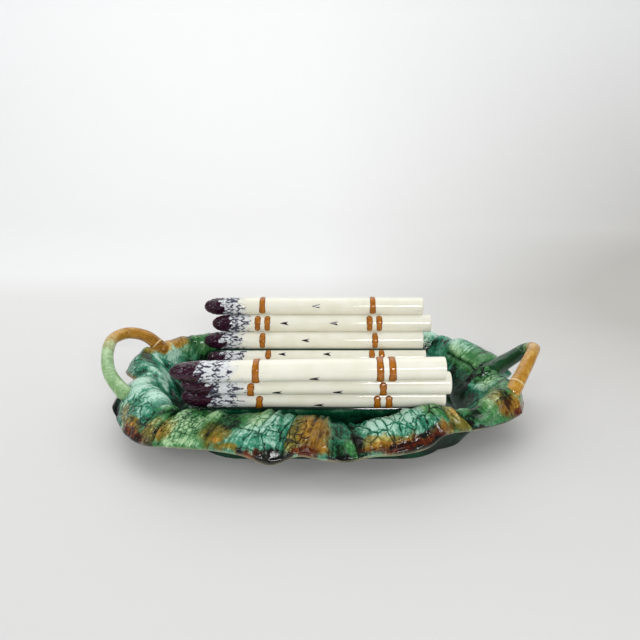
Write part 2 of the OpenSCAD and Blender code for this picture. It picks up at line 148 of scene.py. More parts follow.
table = bpy.data.objects.new("table", table_mesh)
bpy.context.scene.collection.objects.link(table)

# %% The table's paper, with painted shade: lighter towards the back and upwards, in soft shade at the right
table_paper = bpy.data.materials.new("table paper")
table_paper.use_nodes = True
tree = table_paper.node_tree
paper = tree.nodes["Principled BSDF"]
paper.inputs["Roughness"].default_value = 0.6
table_mesh.materials.append(table_paper)
own_place = add_node(tree, "ShaderNodeTexCoord").outputs["Object"]
sheet_axes = add_node(tree, "ShaderNodeSeparateXYZ", {0: own_place}).outputs


def between_marks(axis, low, high, at_low=0.0, at_high=1.0):
    """A share that changes between two places along one of the sheet's axes."""
    marks = {0: sheet_axes[axis], 1: low, 2: high, 3: at_low, 4: at_high}
    return add_node(tree, "ShaderNodeMapRange", marks).outputs[0]


# Painted shade: the paper is darker near the camera, where the dish's soft shadow falls, and at the right.
near_tone = blend(between_marks("Y", -0.25, 0.30), tint(206, 205, 203), tint(218, 217, 214))
far_tone = blend(between_marks("Y", 0.31, 0.44), near_tone, tint(229, 229, 227))
high_tone = blend(between_marks("Z", 0.0, 0.45), far_tone, tint(250, 250, 249))
right_side_shade = between_marks("X", 0.0, 0.8, 0, 2)
for marks in (("Y", -0.25, 0.25, 0, 1), ("Y", 0.35, 0.75, 1, 0.4), ("Y", 0.75, 1.3, 1, 0.5),
              ("Z", 0, 0.45, 1, 0.3)):
    right_side_shade = times(right_side_shade, between_marks(*marks))
tree.links.new(blend(right_side_shade, high_tone, tint(182, 179, 173)), paper.inputs["Base Color"])

# %% Light: the room itself, weaker where the glaze mirrors it, and three soft lamps
room_strength, mirrored_strength = 0.72, 0.2
room = bpy.data.worlds.new("room")
bpy.context.scene.world = room
room.use_nodes = True
tree = room.node_tree
air = tree.nodes["Background"]
air.inputs["Color"].default_value = (0.95, 0.97, 1, 1)
glossy_ray = add_node(tree, "ShaderNodeLightPath").outputs["Is Glossy Ray"]
glow = add_node(tree, "ShaderNodeMapRange", {0: glossy_ray, 3: room_strength, 4: mirrored_strength})
tree.links.new(glow.outputs[0], air.inputs["Strength"])


def soft_light(name, place, target, width, depth, watts):
    lamp = bpy.data.lights.new(name, "AREA")
    lamp.shape = "RECTANGLE"
    lamp.size, lamp.size_y, lamp.energy = width, depth, watts
    made = bpy.data.objects.new(name, lamp)
    made.location = place
    made.rotation_euler = (Vector(target) - Vector(place)).to_track_quat("-Z", "Y").to_euler()
    bpy.context.scene.collection.objects.link(made)


soft_light("window above", (-0.15, 0.75, 1.45), (0, 0, 0.03), 2.0, 1.5, 11.6)
soft_light("window in front", (0.36, -1.35, 0.78), (0.05, 0, 0.06), 0.5, 0.15, 8)
soft_light("lamp at the left", (-1.1, -0.9, 1.0), (0, 0, 0.05), 0.5, 0.5, 3.8)

# %% [markdown]
# ## Glazes
#
# A coloured glaze is glass with metal oxides in it. It runs off high places, where it looks pale,
# and gathers in hollows, where it looks almost black. So the coloured glazes are ramps with three
# colours, thin, middle and thick, and each piece says how deep the glaze lies at every point. The
# ramp, the mottling and the ripples in the glassy surface are node groups that the glazes share.

# %% A node group with named inputs and outputs
def new_group(name, sockets_in, sockets_out):
    group = bpy.data.node_groups.new(name, "ShaderNodeTree")
    for label, kind, value in sockets_in:
        made = group.interface.new_socket(label, in_out="INPUT", socket_type="NodeSocket" + kind)
        if value is not None:
            made.default_value = value
    for label, kind in sockets_out:
        group.interface.new_socket(label, in_out="OUTPUT", socket_type="NodeSocket" + kind)
    return group, group.nodes.new("NodeGroupInput").outputs, group.nodes.new("NodeGroupOutput").inputs


def place_group(tree, group, inputs):
    return add_node(tree, "ShaderNodeGroup", inputs, node_tree=group)


# %% Values that were painted on a piece's own points, and specks
def painted(tree, name):
    return add_node(tree, "ShaderNodeAttribute", attribute_name=name).outputs["Fac"]


def speckle(place, scale, detail=2.0, roughness=0.5, distortion=0.0):
    inputs = {"Vector": place, "Scale": scale, "Detail": detail, "Roughness": roughness,
              "Distortion": distortion}
    return add_node(place.id_data, "ShaderNodeTexNoise", inputs).outputs["Fac"]


# %% Group: one glaze at any depth
depth_group, g_in, g_out = new_group(
    "glaze depth",
    [("Depth", "Float", 0.5)] + [(label, "Color", None) for label in ("Thin", "Middle", "Thick")],
    [("Color", "Color")])
thin_to_middle = blend(share_of(g_in["Depth"], 0.0, 0.5), g_in["Thin"], g_in["Middle"])
whole_ramp = blend(share_of(g_in["Depth"], 0.45, 1.0), thin_to_middle, g_in["Thick"])
depth_group.links.new(whole_ramp, g_out["Color"])

# %% Group: the cloudy, streaky way in which oxides spread
mottle_group, g_in, g_out = new_group(
    "glaze mottle",
    [("Place", "Vector", None), ("Cloud size", "Float", 90.0), ("Fleck size", "Float", 500.0)],
    [("Share", "Float")])
clouds = speckle(g_in["Place"], g_in["Cloud size"], detail=3.0, roughness=0.6, distortion=0.6)
flecks = speckle(g_in["Place"], g_in["Fleck size"], roughness=0.6)
both = plus(times(clouds, 0.65), times(flecks, 0.35))
mottle_group.links.new(share_of(both, 0.3, 0.7), g_out["Share"])

# %% Group: ripples and pinholes in the glassy surface
ripple_group, g_in, g_out = new_group(
    "glaze ripple", [("Place", "Vector", None), ("Wave size", "Float", 60.0)],
    [("Height", "Float"), ("Roughness", "Float")])
waves = speckle(g_in["Place"], g_in["Wave size"], detail=1.0, roughness=0.4)
grain = speckle(g_in["Place"], 1400.0, detail=1.0)
ripple_group.links.new(plus(waves, times(grain, 0.04)), g_out["Height"])
ripple_group.links.new(plus(times(waves, 0.08), 0.04), g_out["Roughness"])


# %% A glaze: the shader, the object's own coordinates and the ripples, ready for a colour
def new_glaze(name, wave_size, refraction):
    material = bpy.data.materials.new(name)
    material.use_nodes = True
    tree = material.node_tree
    shader = tree.nodes["Principled BSDF"]
    shader.inputs["IOR"].default_value = refraction
    place = add_node(tree, "ShaderNodeTexCoord").outputs["Object"]
    ripple = place_group(tree, ripple_group, {"Place": place, "Wave size": wave_size}).outputs
    tree.links.new(ripple["Roughness"], shader.inputs["Roughness"])
    return material, tree, shader, place, ripple["Height"]


def add_bump(tree, shader, height, strength, depth):
    bump = add_node(tree, "ShaderNodeBump", {"Height": height, "Strength": strength, "Distance": depth})
    tree.links.new(bump.outputs["Normal"], shader.inputs["Normal"])


def start_glaze(name, wave_size, wave_depth=0.2 * mm):
    """A glaze whose only bumps are its ripples."""
    material, tree, shader, place, waves = new_glaze(name, wave_size, 1.48)
    add_bump(tree, shader, waves, 0.5, wave_depth)
    return material, tree, shader, place


def mottled(place, cloud_size, fleck_size):
    sizes = {"Place": place, "Cloud size": cloud_size, "Fleck size": fleck_size}
    return place_group(place.id_data, mottle_group, sizes).outputs[0]


def ramp(depth, thin, middle, thick):
    tones = {"Depth": depth, "Thin": thin, "Middle": middle, "Thick": thick}
    return place_group(depth.id_data, depth_group, tones).outputs[0]


print("shared groups:", [g.name for g in bpy.data.node_groups])

# %% [markdown]
# ## The leaf glaze
#
# The leaves carry several glazes side by side: a sea green that breaks from mint to bottle green, a
# warmer leaf green, olive, amber, chestnut, and a brown that is almost black. The near-black brown
# is also painted as shade in the gaps between leaves and inside the right handle's loop. Where each
# lies is painted on the leaf's points, so it follows the leaf and not the table.

# %% Leaf glaze: the vein net, the streaks and the depth of the glaze
leaf_glaze, tree, shader, place, waves = new_glaze("leaf glaze", 70.0, 1.46)
mottle, fine_mottle = mottled(place, 120.0, 460.0), mottled(place, 330.0, 900.0)


def painted_place(first, second):
    marks = {0: painted(tree, first), 1: painted(tree, second)}
    return add_node(tree, "ShaderNodeCombineXYZ", marks).outputs[0]


def vector_math(operation, first, second):
    return add_node(tree, "ShaderNodeVectorMath", {0: first, 1: second}, operation=operation).outputs[0]


net_place = painted_place("net_x", "net_y")
bend = add_node(tree, "ShaderNodeTexNoise", {"Vector": net_place, "Scale": 1.1, "Detail": 2.0})
bent = vector_math("MULTIPLY", bend.outputs["Color"], (0.75, 0.75, 0))
net_place = vector_math("ADD", net_place, bent)
veined = painted(tree, "veined")


def cell_edge(size):
    """How far a point is from the border of its cell, in a net with cells of this size."""
    net = {"Vector": net_place, "Scale": 1 / size, "Randomness": 0.9}
    return add_node(tree, "ShaderNodeTexVoronoi", net, voronoi_dimensions="2D",
                    feature="DISTANCE_TO_EDGE").outputs["Distance"]


big_edge, small_edge = cell_edge(1.9), cell_edge(0.9)
big_line = share_of(big_edge, 0.055, 0.012)
small_line = share_of(small_edge, 0.085, 0.025)
broken = share_of(mottle, 0.15, 0.55)
small_line = times(small_line, times(broken, 0.8))
strong = share_of(veined, 0.25, 0.6)
faint = share_of(veined, 0.55, 0.95)
line = math_node("MAXIMUM", times(big_line, strong), times(small_line, faint))
dome = times(share_of(small_edge, 0.0, 0.42), strong)
streak = speckle(painted_place("fan", "reach"), 1.0, detail=4.0, roughness=0.62, distortion=0.5)


def add_shares(total, parts):
    """A total with weighted values added to it."""
    for value, weight in parts:
        total = plus(total, times(value, weight))
    return total


uneven_streak, uneven, finely_uneven = minus(streak, 0.5), minus(mottle, 0.5), minus(fine_mottle, 0.5)
depth = plus(0.52, uneven_streak)
# The pool share deepens the glaze as pooled glaze and painted shade; the mint share paleness is partly a
# painted highlight on high places.
depth = add_shares(depth, [(uneven, 0.36), (finely_uneven, 0.30), (painted(tree, "pool_and_shade"), 0.85),
                           (painted(tree, "mint"), -0.46), (dome, -0.16)])
depth = plus(math_node("MAXIMUM", depth, 0.0), times(line, 0.50), clamp=True)

# %% Leaf glaze: the colours that are brushed side by side, each thin, middle and thick
brushes = {
    "green": (tint(164, 198, 148), tint(60, 120, 66), tint(3, 26, 9)),
    "olive": (tint(188, 178, 104), tint(112, 102, 32), tint(18, 22, 6)),
    "amber": (tint(212, 172, 84), tint(148, 108, 32), tint(56, 28, 6)),
    "rust": (tint(150, 76, 12), tint(80, 28, 4), tint(22, 6, 1)),
    "dark": (tint(44, 44, 28), tint(16, 16, 11), tint(4, 4, 3)),
}
ragged = times(minus(plus(mottle, streak), 1.0), 0.30)
ragged = plus(ragged, times(finely_uneven, 0.16))


def brushed(name):
    """Where one glaze was brushed on: its painted share, broken up by the mottling near its edge."""
    near = times(ragged, share_of(painted(tree, name), 0.02, 0.35))
    return share_of(plus(painted(tree, name), near), 0.08, 0.86)


colour = ramp(depth, tint(172, 210, 190), tint(46, 128, 98), tint(2, 28, 15))
for name, tones in brushes.items():
    colour = blend(brushed(name), colour, ramp(depth, *tones))
# A painted highlight: a pale cream line along each leaf's lip.
colour = blend(painted(tree, "lip_highlight"), colour, tint(216, 204, 158))
tree.links.new(colour, shader.inputs["Base Color"])

# %% Leaf glaze: the raised cells, the sunk veins and the glassy ripples
raised = add_shares(times(dome, 0.55), [(line, -0.45), (streak, 0.42), (waves, 0.7)])
add_bump(tree, shader, raised, 0.9, 1.1 * mm)

# %% [markdown]
# ## The rim
#
# The rim is the one part of the dish that no simple shape gives. Going round it, 36 stations say
# where the leaves' crest lies and where their lip hangs, as shares of the dish's length, depth and
# height, and how steep the wall inside is. A smooth curve through them gives the surface on which
# every leaf is laid. The construction model has the same rule with half the stations, used twice.
# Here each station is its own, because the photographed rim is higher at its rear left.

# %% Sizes that the rim follows
spear_l, spear_d, neck_d, tip_l = 228 * mm, 19.3 * mm, 18.5 * mm, 40 * mm
seam_flat, wall_lean = 0.4 * mm, 23
body_t, leaf_t, leaf_swell = 5 * mm, 3.6 * mm, 3 * mm
wall_out_l, wall_out_d, lip_out_l, lip_out_d = 42 * mm, 30 * mm, 21 * mm, 18 * mm
foot_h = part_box("foot_ring")[1].z
floor_z = foot_h + body_t
saddle_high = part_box("cradle_saddle")[1]
floor_half_l = spear_l / 2 + 13 * mm
floor_half_d = saddle_high.y + 3.5 * mm
lip_half_l = floor_half_l + wall_out_l + lip_out_l
lip_half_d = floor_half_d + wall_out_d + lip_out_d
foot_half_d = floor_half_d + 10 * mm
rim_h = 50 * mm
floor_roundness = 5
print("floor", round(2 * floor_half_l / mm), "by", round(2 * floor_half_d / mm), "mm")

# %% The stations, from the left end round the front and back along the rear: lip, crest, shoulder
station_step = 10
rim_shares = [
    [-0.955, 0, 0.68, -0.85, 0, 0.88, 0.6, 0.4], [-1, -0.289, 0.54, -0.861, -0.248, 1, 0.6, 0.4],
    [-0.915, -0.546, 0.44, -0.778, -0.464, 0.98, 0.58, 0.42],
    [-0.802, -0.759, 0.48, -0.7, -0.64, 0.96, 0.52, 0.5],
    [-0.637, -0.876, 0.6, -0.573, -0.69, 0.97, 0.42, 0.66],
    [-0.474, -0.924, 0.62, -0.416, -0.75, 0.91, 0.28, 0.86],
    [-0.342, -0.971, 0.6, -0.291, -0.78, 0.87, 0.21, 0.95],
    [-0.221, -0.997, 0.46, -0.185, -0.79, 0.85, 0.2, 0.94],
    [-0.103, -0.959, 0.56, -0.087, -0.79, 0.83, 0.21, 0.93], [0, -1, 0.56, 0, -0.82, 0.83, 0.23, 0.9],
    [0.109, -1.01, 0.54, 0.091, -0.839, 0.81, 0.26, 0.84],
    [0.218, -0.98, 0.59, 0.178, -0.803, 0.77, 0.34, 0.7],
    [0.332, -0.94, 0.56, 0.272, -0.772, 0.82, 0.38, 0.66],
    [0.453, -0.884, 0.6, 0.363, -0.708, 0.9, 0.42, 0.62],
    [0.553, -0.759, 0.68, 0.49, -0.64, 1.04, 0.48, 0.54],
    [0.693, -0.665, 0.62, 0.61, -0.595, 0.86, 0.56, 0.45],
    [0.871, -0.519, 0.6, 0.783, -0.467, 0.94, 0.59, 0.42],
    [0.968, -0.28, 0.54, 0.892, -0.258, 0.96, 0.6, 0.4], [0.937, 0, 0.68, 0.842, 0, 0.88, 0.6, 0.4],
    [1, 0.289, 0.54, 0.861, 0.248, 1, 0.6, 0.4], [0.915, 0.546, 0.44, 0.778, 0.464, 0.98, 0.59, 0.42],
    [0.802, 0.759, 0.48, 0.706, 0.667, 0.88, 0.55, 0.46],
    [0.637, 0.876, 0.6, 0.573, 0.787, 0.97, 0.51, 0.51],
    [0.474, 0.924, 0.62, 0.416, 0.812, 0.84, 0.45, 0.58],
    [0.342, 0.971, 0.6, 0.291, 0.825, 0.8, 0.38, 0.66],
    [0.221, 0.997, 0.46, 0.185, 0.834, 0.8, 0.33, 0.72],
    [0.103, 0.959, 0.56, 0.087, 0.807, 0.8, 0.29, 0.76], [0, 1, 0.56, 0, 0.84, 0.8, 0.28, 0.78],
    [-0.109, 1.01, 0.54, -0.091, 0.839, 0.78, 0.29, 0.76],
    [-0.218, 0.98, 0.59, -0.178, 0.803, 0.8, 0.33, 0.72],
    [-0.332, 0.94, 0.56, -0.272, 0.772, 0.84, 0.39, 0.65],
    [-0.453, 0.884, 0.6, -0.363, 0.708, 0.9, 0.45, 0.58],
    [-0.553, 0.759, 0.68, -0.47, 0.64, 0.97, 0.51, 0.5],
    [-0.693, 0.68, 0.62, -0.615, 0.635, 1.03, 0.62, 0.42],
    [-0.871, 0.519, 0.6, -0.785, 0.48, 1.08, 0.62, 0.4],
    [-1.035, 0.28, 0.58, -0.925, 0.25, 0.98, 0.6, 0.4]]
stations = np.array(rim_shares)
rim_size = [lip_half_l, lip_half_d, rim_h]
lips, crests, shoulder_shares = stations[:, :3] * rim_size, stations[:, 3:6] * rim_size, stations[:, 6:]

# %% Curves through the stations
rim_rows, shoulder_row, crest_row, body_rows = 12, 3, 7, 9


def hermite(p, q, slope_p, slope_q, w):
    return (p * (1 + 2 * w) * (1 - w) ** 2 + q * w * w * (3 - 2 * w)
            + slope_p * w * (1 - w) ** 2 - slope_q * w * w * (1 - w))


def through(rows, marks, part):
    """Part of the way from the second to the third of four marked rows, on a smooth curve."""
    a, b, c, d = (rows[mark] for mark in marks)
    return hermite(b, c, (c - a) / 2, (d - b) / 2, part[:, None])


def round_rim(rows, angles):
    q = (angles - 180) / station_step
    k = np.floor(q).astype(int)
    return through(rows, [(k + step) % len(rows) for step in (-1, 0, 1, 2)], q - k)


def oval(half_l, half_d, angles):
    cosine, sine = np.cos(np.radians(angles)), np.sin(np.radians(angles))
    reach = (np.abs(cosine) / half_l) ** floor_roundness + (np.abs(sine) / half_d) ** floor_roundness
    return (reach ** (-1 / floor_roundness))[:, None] * np.stack([cosine, sine], 1)


def at_height(plan, z):
    return np.column_stack([plan, np.full(len(plan), z)])


def chain(points, rows, start_slope, end_slope, row):
    """A smooth curve across the rim, through four points at the given rows."""
    k = 0 if row <= rows[1] else 1 if row <= rows[2] else 2
    span = rows[k + 1] - rows[k]
    before = start_slope if k == 0 else (points[k + 1] - points[k - 1]) / (rows[k + 1] - rows[k - 1])
    after = end_slope if k == 2 else (points[k + 2] - points[k]) / (rows[k + 2] - rows[k])
    return hermite(points[k], points[k + 1], before * span, after * span, (row - rows[k]) / span)


# %% The surface that the leaves lie on, and the underside of the dish
leaf_under = np.array([0, 0, leaf_t + leaf_swell / 2])


def rim_lines(angles):
    """The floor's edge, the shoulder, the crest and the lip at these angles."""
    floor = at_height(oval(floor_half_l, floor_half_d, angles), floor_z)
    crest = round_rim(crests, angles) - leaf_under
    lip = round_rim(lips, angles) - leaf_under * 0.4
    share = round_rim(shoulder_shares, angles)
    return floor, floor + (crest - floor) * share[:, [0, 0, 1]], crest, lip


def bed(angles, rows):
    """Points of the bed, one list for each angle, from the floor's edge out to the lip."""
    floor, shoulder, crest, lip = rim_lines(angles)
    level = (shoulder - floor) * [1, 1, 0] / shoulder_row
    fall = (lip - crest) / (rim_rows - crest_row) * [0.7, 0.7, 1.6]
    knots = [0, shoulder_row, crest_row, rim_rows]
    return np.stack([chain([floor, shoulder, crest, lip], knots, level, fall, row) for row in rows], 1)


def underside(angles, rows):
    _, shoulder, crest, _ = rim_lines(angles)
    start = at_height(oval(floor_half_l + body_t, foot_half_d + 1 * mm, angles), foot_h)
    out = shoulder[:, :2] / np.linalg.norm(shoulder[:, :2], axis=1)[:, None] * body_t
    wall = shoulder + np.column_stack([out, np.full(len(out), -body_t)])
    below = crest - [0, 0, body_t]
    edge = bed(angles, [body_rows])[:, 0] - [0, 0, body_t * 0.7]
    slope = (edge - below) / (body_rows - crest_row)
    knots = [0, shoulder_row, crest_row, body_rows]
    return np.stack([chain([start, wall, below, edge], knots, slope * 0, slope, row) for row in rows], 1)


def normals_of(grid):
    along, across = np.gradient(grid, axis=0), np.gradient(grid, axis=1)
    normal = np.cross(across, along)
    return normal / np.maximum(np.linalg.norm(normal, axis=2), 1e-12)[:, :, None]


# %% [markdown]
# ## Pressed sheets
#
# A leaf, a tie and a bract are all made in the same way: clay pressed into a sheet, laid on
# something, and modelled on top. In Blender a grid is created with one operator and extruded into a
# closed sheet. Formulas then put its lower side on what carries it, and its upper side at the
# modelled surface. Values such as the depth of the glaze are painted on the same points.

# %% Create a flat grid with its value layers, and lay its points in place
def flat_grid(bm, shape, values):
    floats = bm.verts.layers.float
    layers = {key: floats.get(key) or floats.new(key) for key in values}
    columns, rows = shape[0] - 1, shape[1] - 1
    made = bmesh.ops.create_grid(bm, x_segments=columns, y_segments=rows, size=0.5, calc_uvs=True)
    return made["verts"], layers


def lay_points(verts, places, layers, values):
    columns, rows = places.shape[0] - 1, places.shape[1] - 1
    for vert in verts:
        i, j = round((vert.co.x + 0.5) * columns), round((vert.co.y + 0.5) * rows)
        vert.co = places[i, j]
        for key, layer in layers.items():
            vert[layer] = values[key][i, j]


def press(bm, top, under, values):
    """A sheet between two grids of points."""
    sheet, layers = flat_grid(bm, top.shape, values)
    faces = list(dict.fromkeys(face for vert in sheet for face in vert.link_faces))
    raised = bmesh.ops.extrude_face_region(bm, geom=faces)["geom"]
    lay_points(sheet, under, layers, values)
    lay_points([item for item in raised if isinstance(item, bmesh.types.BMVert)], top, layers, values)


def roll(skin, values):
    """A tube from a grid of points whose first and last columns meet."""
    bm = bmesh.new()
    sheet, layers = flat_grid(bm, skin.shape, values)
    lay_points(sheet, skin, layers, values)
    bmesh.ops.remove_doubles(bm, verts=bm.verts, dist=0.005 * mm)
    return bm


# %% Finish a piece: a mesh at the origin that rides on the dish and takes its glaze
def finish_piece(bm, name, material, slot, *nodes, sharp=60):
    bmesh.ops.recalc_face_normals(bm, faces=bm.faces)
    mesh = bpy.data.meshes.new(name)
    bm.to_mesh(mesh)
    bm.free()
    mesh.shade_smooth()
    mesh.set_sharp_from_angle(angle=math.radians(sharp))
    mesh.materials.append(material)
    piece = bpy.data.objects.new(name, mesh)
    bpy.context.scene.collection.objects.link(piece)
    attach(piece, "root")
    if nodes:
        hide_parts(*nodes)
    print(name, len(mesh.polygons), "faces")


# %% [markdown]
# ## Savoy leaves
#
# Each leaf is a pressed sheet with its own swellings, folds and ribs. They are modelled in the mesh,
# because they make the outline and the shadows. The vein net and the fine pleats that spread from
# the stalk are too small for that. They are drawn in the glaze, on coordinates painted on the leaf:
# one pair counts the cells of the net, the other turns round the stalk like a fan.

# %% Smooth steps and noise over a grid
def smooth(low, high, value):
    w = np.clip((value - low) / (high - low), 0, 1)
    return w * w * (3 - 2 * w)


def noise_grid(x, y, seed):
    """Smooth noise from -1 to 1 at every point of a grid."""
    flat = [noise.noise(Vector((a, b, seed))) for a, b in zip(x.ravel(), y.ravel())]
    return np.array(flat).reshape(x.shape)


# %% The leaves: angles, swelling, thickness, midrib, cell size in mm and which edges lie on top
mesh_step = 1.0 * mm
leaves = {
    "left_front_corner_leaf": (186, 213, 1.5, 1.15, 0.40, 6.5, (1, 1)),
    "left_front_small_leaf": (213, 228, 1.0, 0.80, 0.50, 3.6, (0, 1)),
    "front_left_leaf": (228, 255, 1.1, 1.10, 0.60, 7.5, (0, 0)),
    "front_middle_leaf": (255, 285, 1.2, 0.90, 0.45, 7.5, (1, 0)),
    "front_right_leaf": (285, 321, 1.2, 1.10, 0.50, 8.5, (1, 1)),
    "front_folded_leaf": (321, 330, 0.8, 0.80, 0.50, 5.0, (0, 0)),
    "right_front_corner_leaf": (330, 366, 1.3, 1.05, 0.50, 6.0, (1, 1)),
    "right_rear_corner_leaf": (6, 33, 1.5, 1.15, 0.40, 6.5, (0, 1)),
    "right_rear_small_leaf": (33, 48, 1.0, 0.80, 0.50, 5.0, (0, 1)),
    "rear_right_leaf": (48, 75, 1.1, 1.10, 0.60, 6.0, (0, 0)),
    "rear_middle_leaf": (75, 105, 1.2, 0.90, 0.45, 7.5, (1, 0)),
    "rear_left_leaf": (105, 141, 1.2, 1.10, 0.50, 6.5, (1, 1)),
    "rear_folded_leaf": (141, 150, 0.8, 0.80, 0.50, 5.0, (0, 0)),
    "left_rear_corner_leaf": (150, 186, 1.3, 1.05, 0.50, 6.0, (1, 0)),
}
glazes = ("veined", "mint", *brushes)

# %% Where glazes and nets lie on a leaf: name, place and reach, across and outwards, in hundredths
# Painted shade: the dark washes at the leaves' side edges (across near 0 or 100) stand for the shade in
# the gaps between leaves and inside the right handle's loop; the dark washes along the lips are the
# near-black brown glaze.
washes = {
    "left_front_corner_leaf": [
        ("veined", 62, 80, 34, 17), ("mint", 30, 64, 26, 14), ("mint", 58, 52, 16, 10),
        ("green", 95, 66, 10, 30), ("olive", 90, 86, 9, 10), ("olive", 60, 88, 20, 6),
        ("amber", 66, 92, 12, 3), ("rust", 78, 96, 22, 5), ("dark", 85, 100, 30, 3.5),
        ("dark", 18, 99, 20, 9)],
    "left_front_small_leaf": [
        ("green", 50, 65, 80, 50), ("veined", 42, 75, 34, 17), ("olive", 10, 80, 20, 12),
        ("amber", 2, 84, 10, 7), ("mint", 75, 60, 10, 14), ("olive", 95, 80, 16, 16),
        ("mint", 45, 92, 30, 5), ("mint", 48, 70, 34, 16)],
    "front_left_leaf": [
        ("green", 20, 38, 35, 28), ("olive", 5, 79, 14, 15), ("amber", 10, 86, 7, 4),
        ("veined", 62, 66, 34, 22), ("mint", 45, 58, 30, 13), ("olive", 26, 95, 18, 5),
        ("rust", 55, 96, 12, 6), ("dark", 40, 94, 7, 6), ("dark", 84, 96, 24, 10),
        ("rust", 66, 90, 8, 5)],
    "front_middle_leaf": [
        ("olive", 13, 66, 20, 30), ("veined", 12, 68, 22, 28), ("amber", 40, 60, 22, 30),
        ("green", 90, 84, 20, 16), ("rust", 28, 94, 20, 9), ("amber", 48, 86, 18, 8),
        ("dark", 2, 99, 12, 7), ("dark", 80, 98, 20, 6), ("dark", 98, 72, 7, 12)],
    "front_right_leaf": [
        ("veined", 50, 62, 52, 24), ("mint", 50, 56, 34, 14), ("dark", 0, 76, 7, 11),
        ("olive", 30, 80, 30, 5), ("amber", 42, 87, 46, 5), ("rust", 58, 93, 42, 8),
        ("dark", 74, 84, 13, 3.5), ("dark", 66, 98.5, 26, 3), ("amber", 91, 86, 5, 6),
        ("olive", 97, 95, 6, 8), ("green", 98, 60, 12, 22)],
    "front_folded_leaf": [
        ("green", 50, 50, 90, 60), ("olive", 55, 76, 48, 22), ("amber", 45, 70, 14, 5),
        ("veined", 30, 62, 40, 20), ("dark", 100, 95, 12, 14)],
    "right_front_corner_leaf": [
        ("green", 30, 66, 34, 40), ("dark", 0, 90, 5, 16), ("olive", 33, 76, 10, 18),
        ("amber", 37, 82, 10, 12), ("rust", 40, 94, 12, 8), ("dark", 10, 100, 12, 4),
        ("veined", 30, 66, 5, 8), ("mint", 70, 42, 9, 14), ("mint", 15, 55, 8, 14),
        ("green", 80, 60, 20, 20), ("green", 52, 62, 14, 12), ("dark", 92, 28, 5, 18),
        ("green", 95, 62, 10, 20), ("amber", 50, 95, 14, 5), ("veined", 80, 58, 16, 20)],
    "right_rear_corner_leaf": [
        ("mint", 66, 52, 24, 10), ("green", 20, 40, 45, 16), ("veined", 50, 78, 50, 16),
        ("green", 10, 62, 16, 30), ("dark", 0, 95, 12, 20), ("olive", 16, 92, 16, 10),
        ("olive", 60, 93, 30, 6), ("amber", 30, 97, 30, 6)],
    "right_rear_small_leaf": [
        ("green", 50, 36, 70, 14), ("mint", 30, 58, 40, 10), ("veined", 50, 80, 50, 20),
        ("amber", 50, 100, 50, 8)],
    "left_rear_corner_leaf": [
        ("amber", 38, 56, 13, 5), ("olive", 42, 60, 18, 8), ("green", 12, 55, 20, 30),
        ("mint", 50, 45, 22, 7), ("mint", 80, 62, 10, 6), ("veined", 60, 85, 50, 16),
        ("olive", 70, 95, 30, 6), ("amber", 40, 97, 30, 6), ("mint", 85, 38, 25, 12)],
    "rear_folded_leaf": [
        ("green", 50, 50, 90, 80), ("veined", 50, 70, 60, 30)],
}
twins = {"rear_right_leaf": "front_left_leaf", "rear_middle_leaf": "front_middle_leaf",
         "rear_left_leaf": "front_right_leaf"}

# %% Folds and ribs: from and to, across and outwards in hundredths, then half width and height in mm
creases = {
    "left_front_corner_leaf": [
        (74, 40, 84, 100, 3.2, -1), (90, 45, 95, 100, 3, 1.6), (50, 62, 62, 92, 9, 1.8),
        (20, 75, 32, 100, 3, -1.6), (30, 30, 42, 60, 3, 0.9)],
    "left_front_small_leaf": [
        (72, 40, 80, 100, 1.8, 1.5), (86, 35, 90, 100, 2.4, -1), (42, 60, 42, 85, 5, 1.2),
        (10, 55, 16, 95, 2.2, -0.9)],
    "front_left_leaf": [
        (20, 20, 24, 62, 6, -1.2), (45, 30, 36, 80, 2.4, 1.2), (55, 30, 58, 85, 2, -0.9),
        (62, 30, 74, 90, 2.4, 1.3), (70, 30, 92, 75, 2.2, -0.9), (4, 60, 10, 95, 3, 1.2)],
    "front_middle_leaf": [
        (62, 30, 54, 80, 1.8, 1.6), (42, 30, 30, 80, 1.6, -0.9), (52, 35, 42, 85, 1.6, -0.8),
        (76, 30, 74, 100, 6, -1.5), (15, 45, 12, 90, 6, 1.6), (36, 88, 44, 100, 4, 1.2)],
    "front_right_leaf": [
        (4, 45, 3, 100, 5, -1.8), (35, 50, 60, 62, 12, 1.8), (15, 90, 72, 88, 2.4, -0.9),
        (89, 80, 92, 90, 2.2, 1.6), (30, 25, 26, 60, 1.5, 0.8), (66, 25, 80, 60, 1.5, 0.8)],
    "front_folded_leaf": [
        (50, 40, 50, 90, 4, 1.2), (95, 60, 98, 100, 2, -1.4)],
    "right_front_corner_leaf": [
        (42, 50, 10, 90, 3.2, 3.4), (20, 45, 14, 72, 5, -2), (76, 16, 83, 58, 3.2, 5),
        (93, 16, 94, 60, 4, -1.6), (36, 60, 30, 95, 1.5, -0.8), (44, 62, 40, 100, 2, 1),
        (75, 30, 72, 75, 3, 1.2), (90, 20, 88, 70, 2.4, -1)],
    "right_rear_corner_leaf": [
        (30, 42, 62, 50, 2.6, 1), (2, 38, 60, 40, 1.6, -1.3), (60, 62, 60, 92, 9, 1.6),
        (78, 50, 84, 100, 2.6, -1.4)],
    "left_rear_corner_leaf": [
        (72, 66, 80, 58, 2.2, 1.6), (80, 70, 90, 55, 1.8, -1.2), (70, 30, 40, 50, 2, 0.9),
        (52, 62, 44, 95, 2.6, 1.2), (20, 30, 24, 80, 3, -1)],
}


def wash_shares(name, u, v, ragged_u, ragged_v):
    """How much of each glaze lies at every point of a leaf."""
    shares = {key: np.zeros_like(u) for key in glazes}
    for glaze, *marks in washes[twins.get(name, name)]:
        at_u, at_v, reach_u, reach_v = (mark / 100 for mark in marks)
        away = ((u + ragged_u - at_u) / reach_u) ** 2 + ((v + ragged_v - at_v) / reach_v) ** 2
        shares[glaze] = np.maximum(shares[glaze], np.exp(-0.7 * away ** 1.3))
    return shares


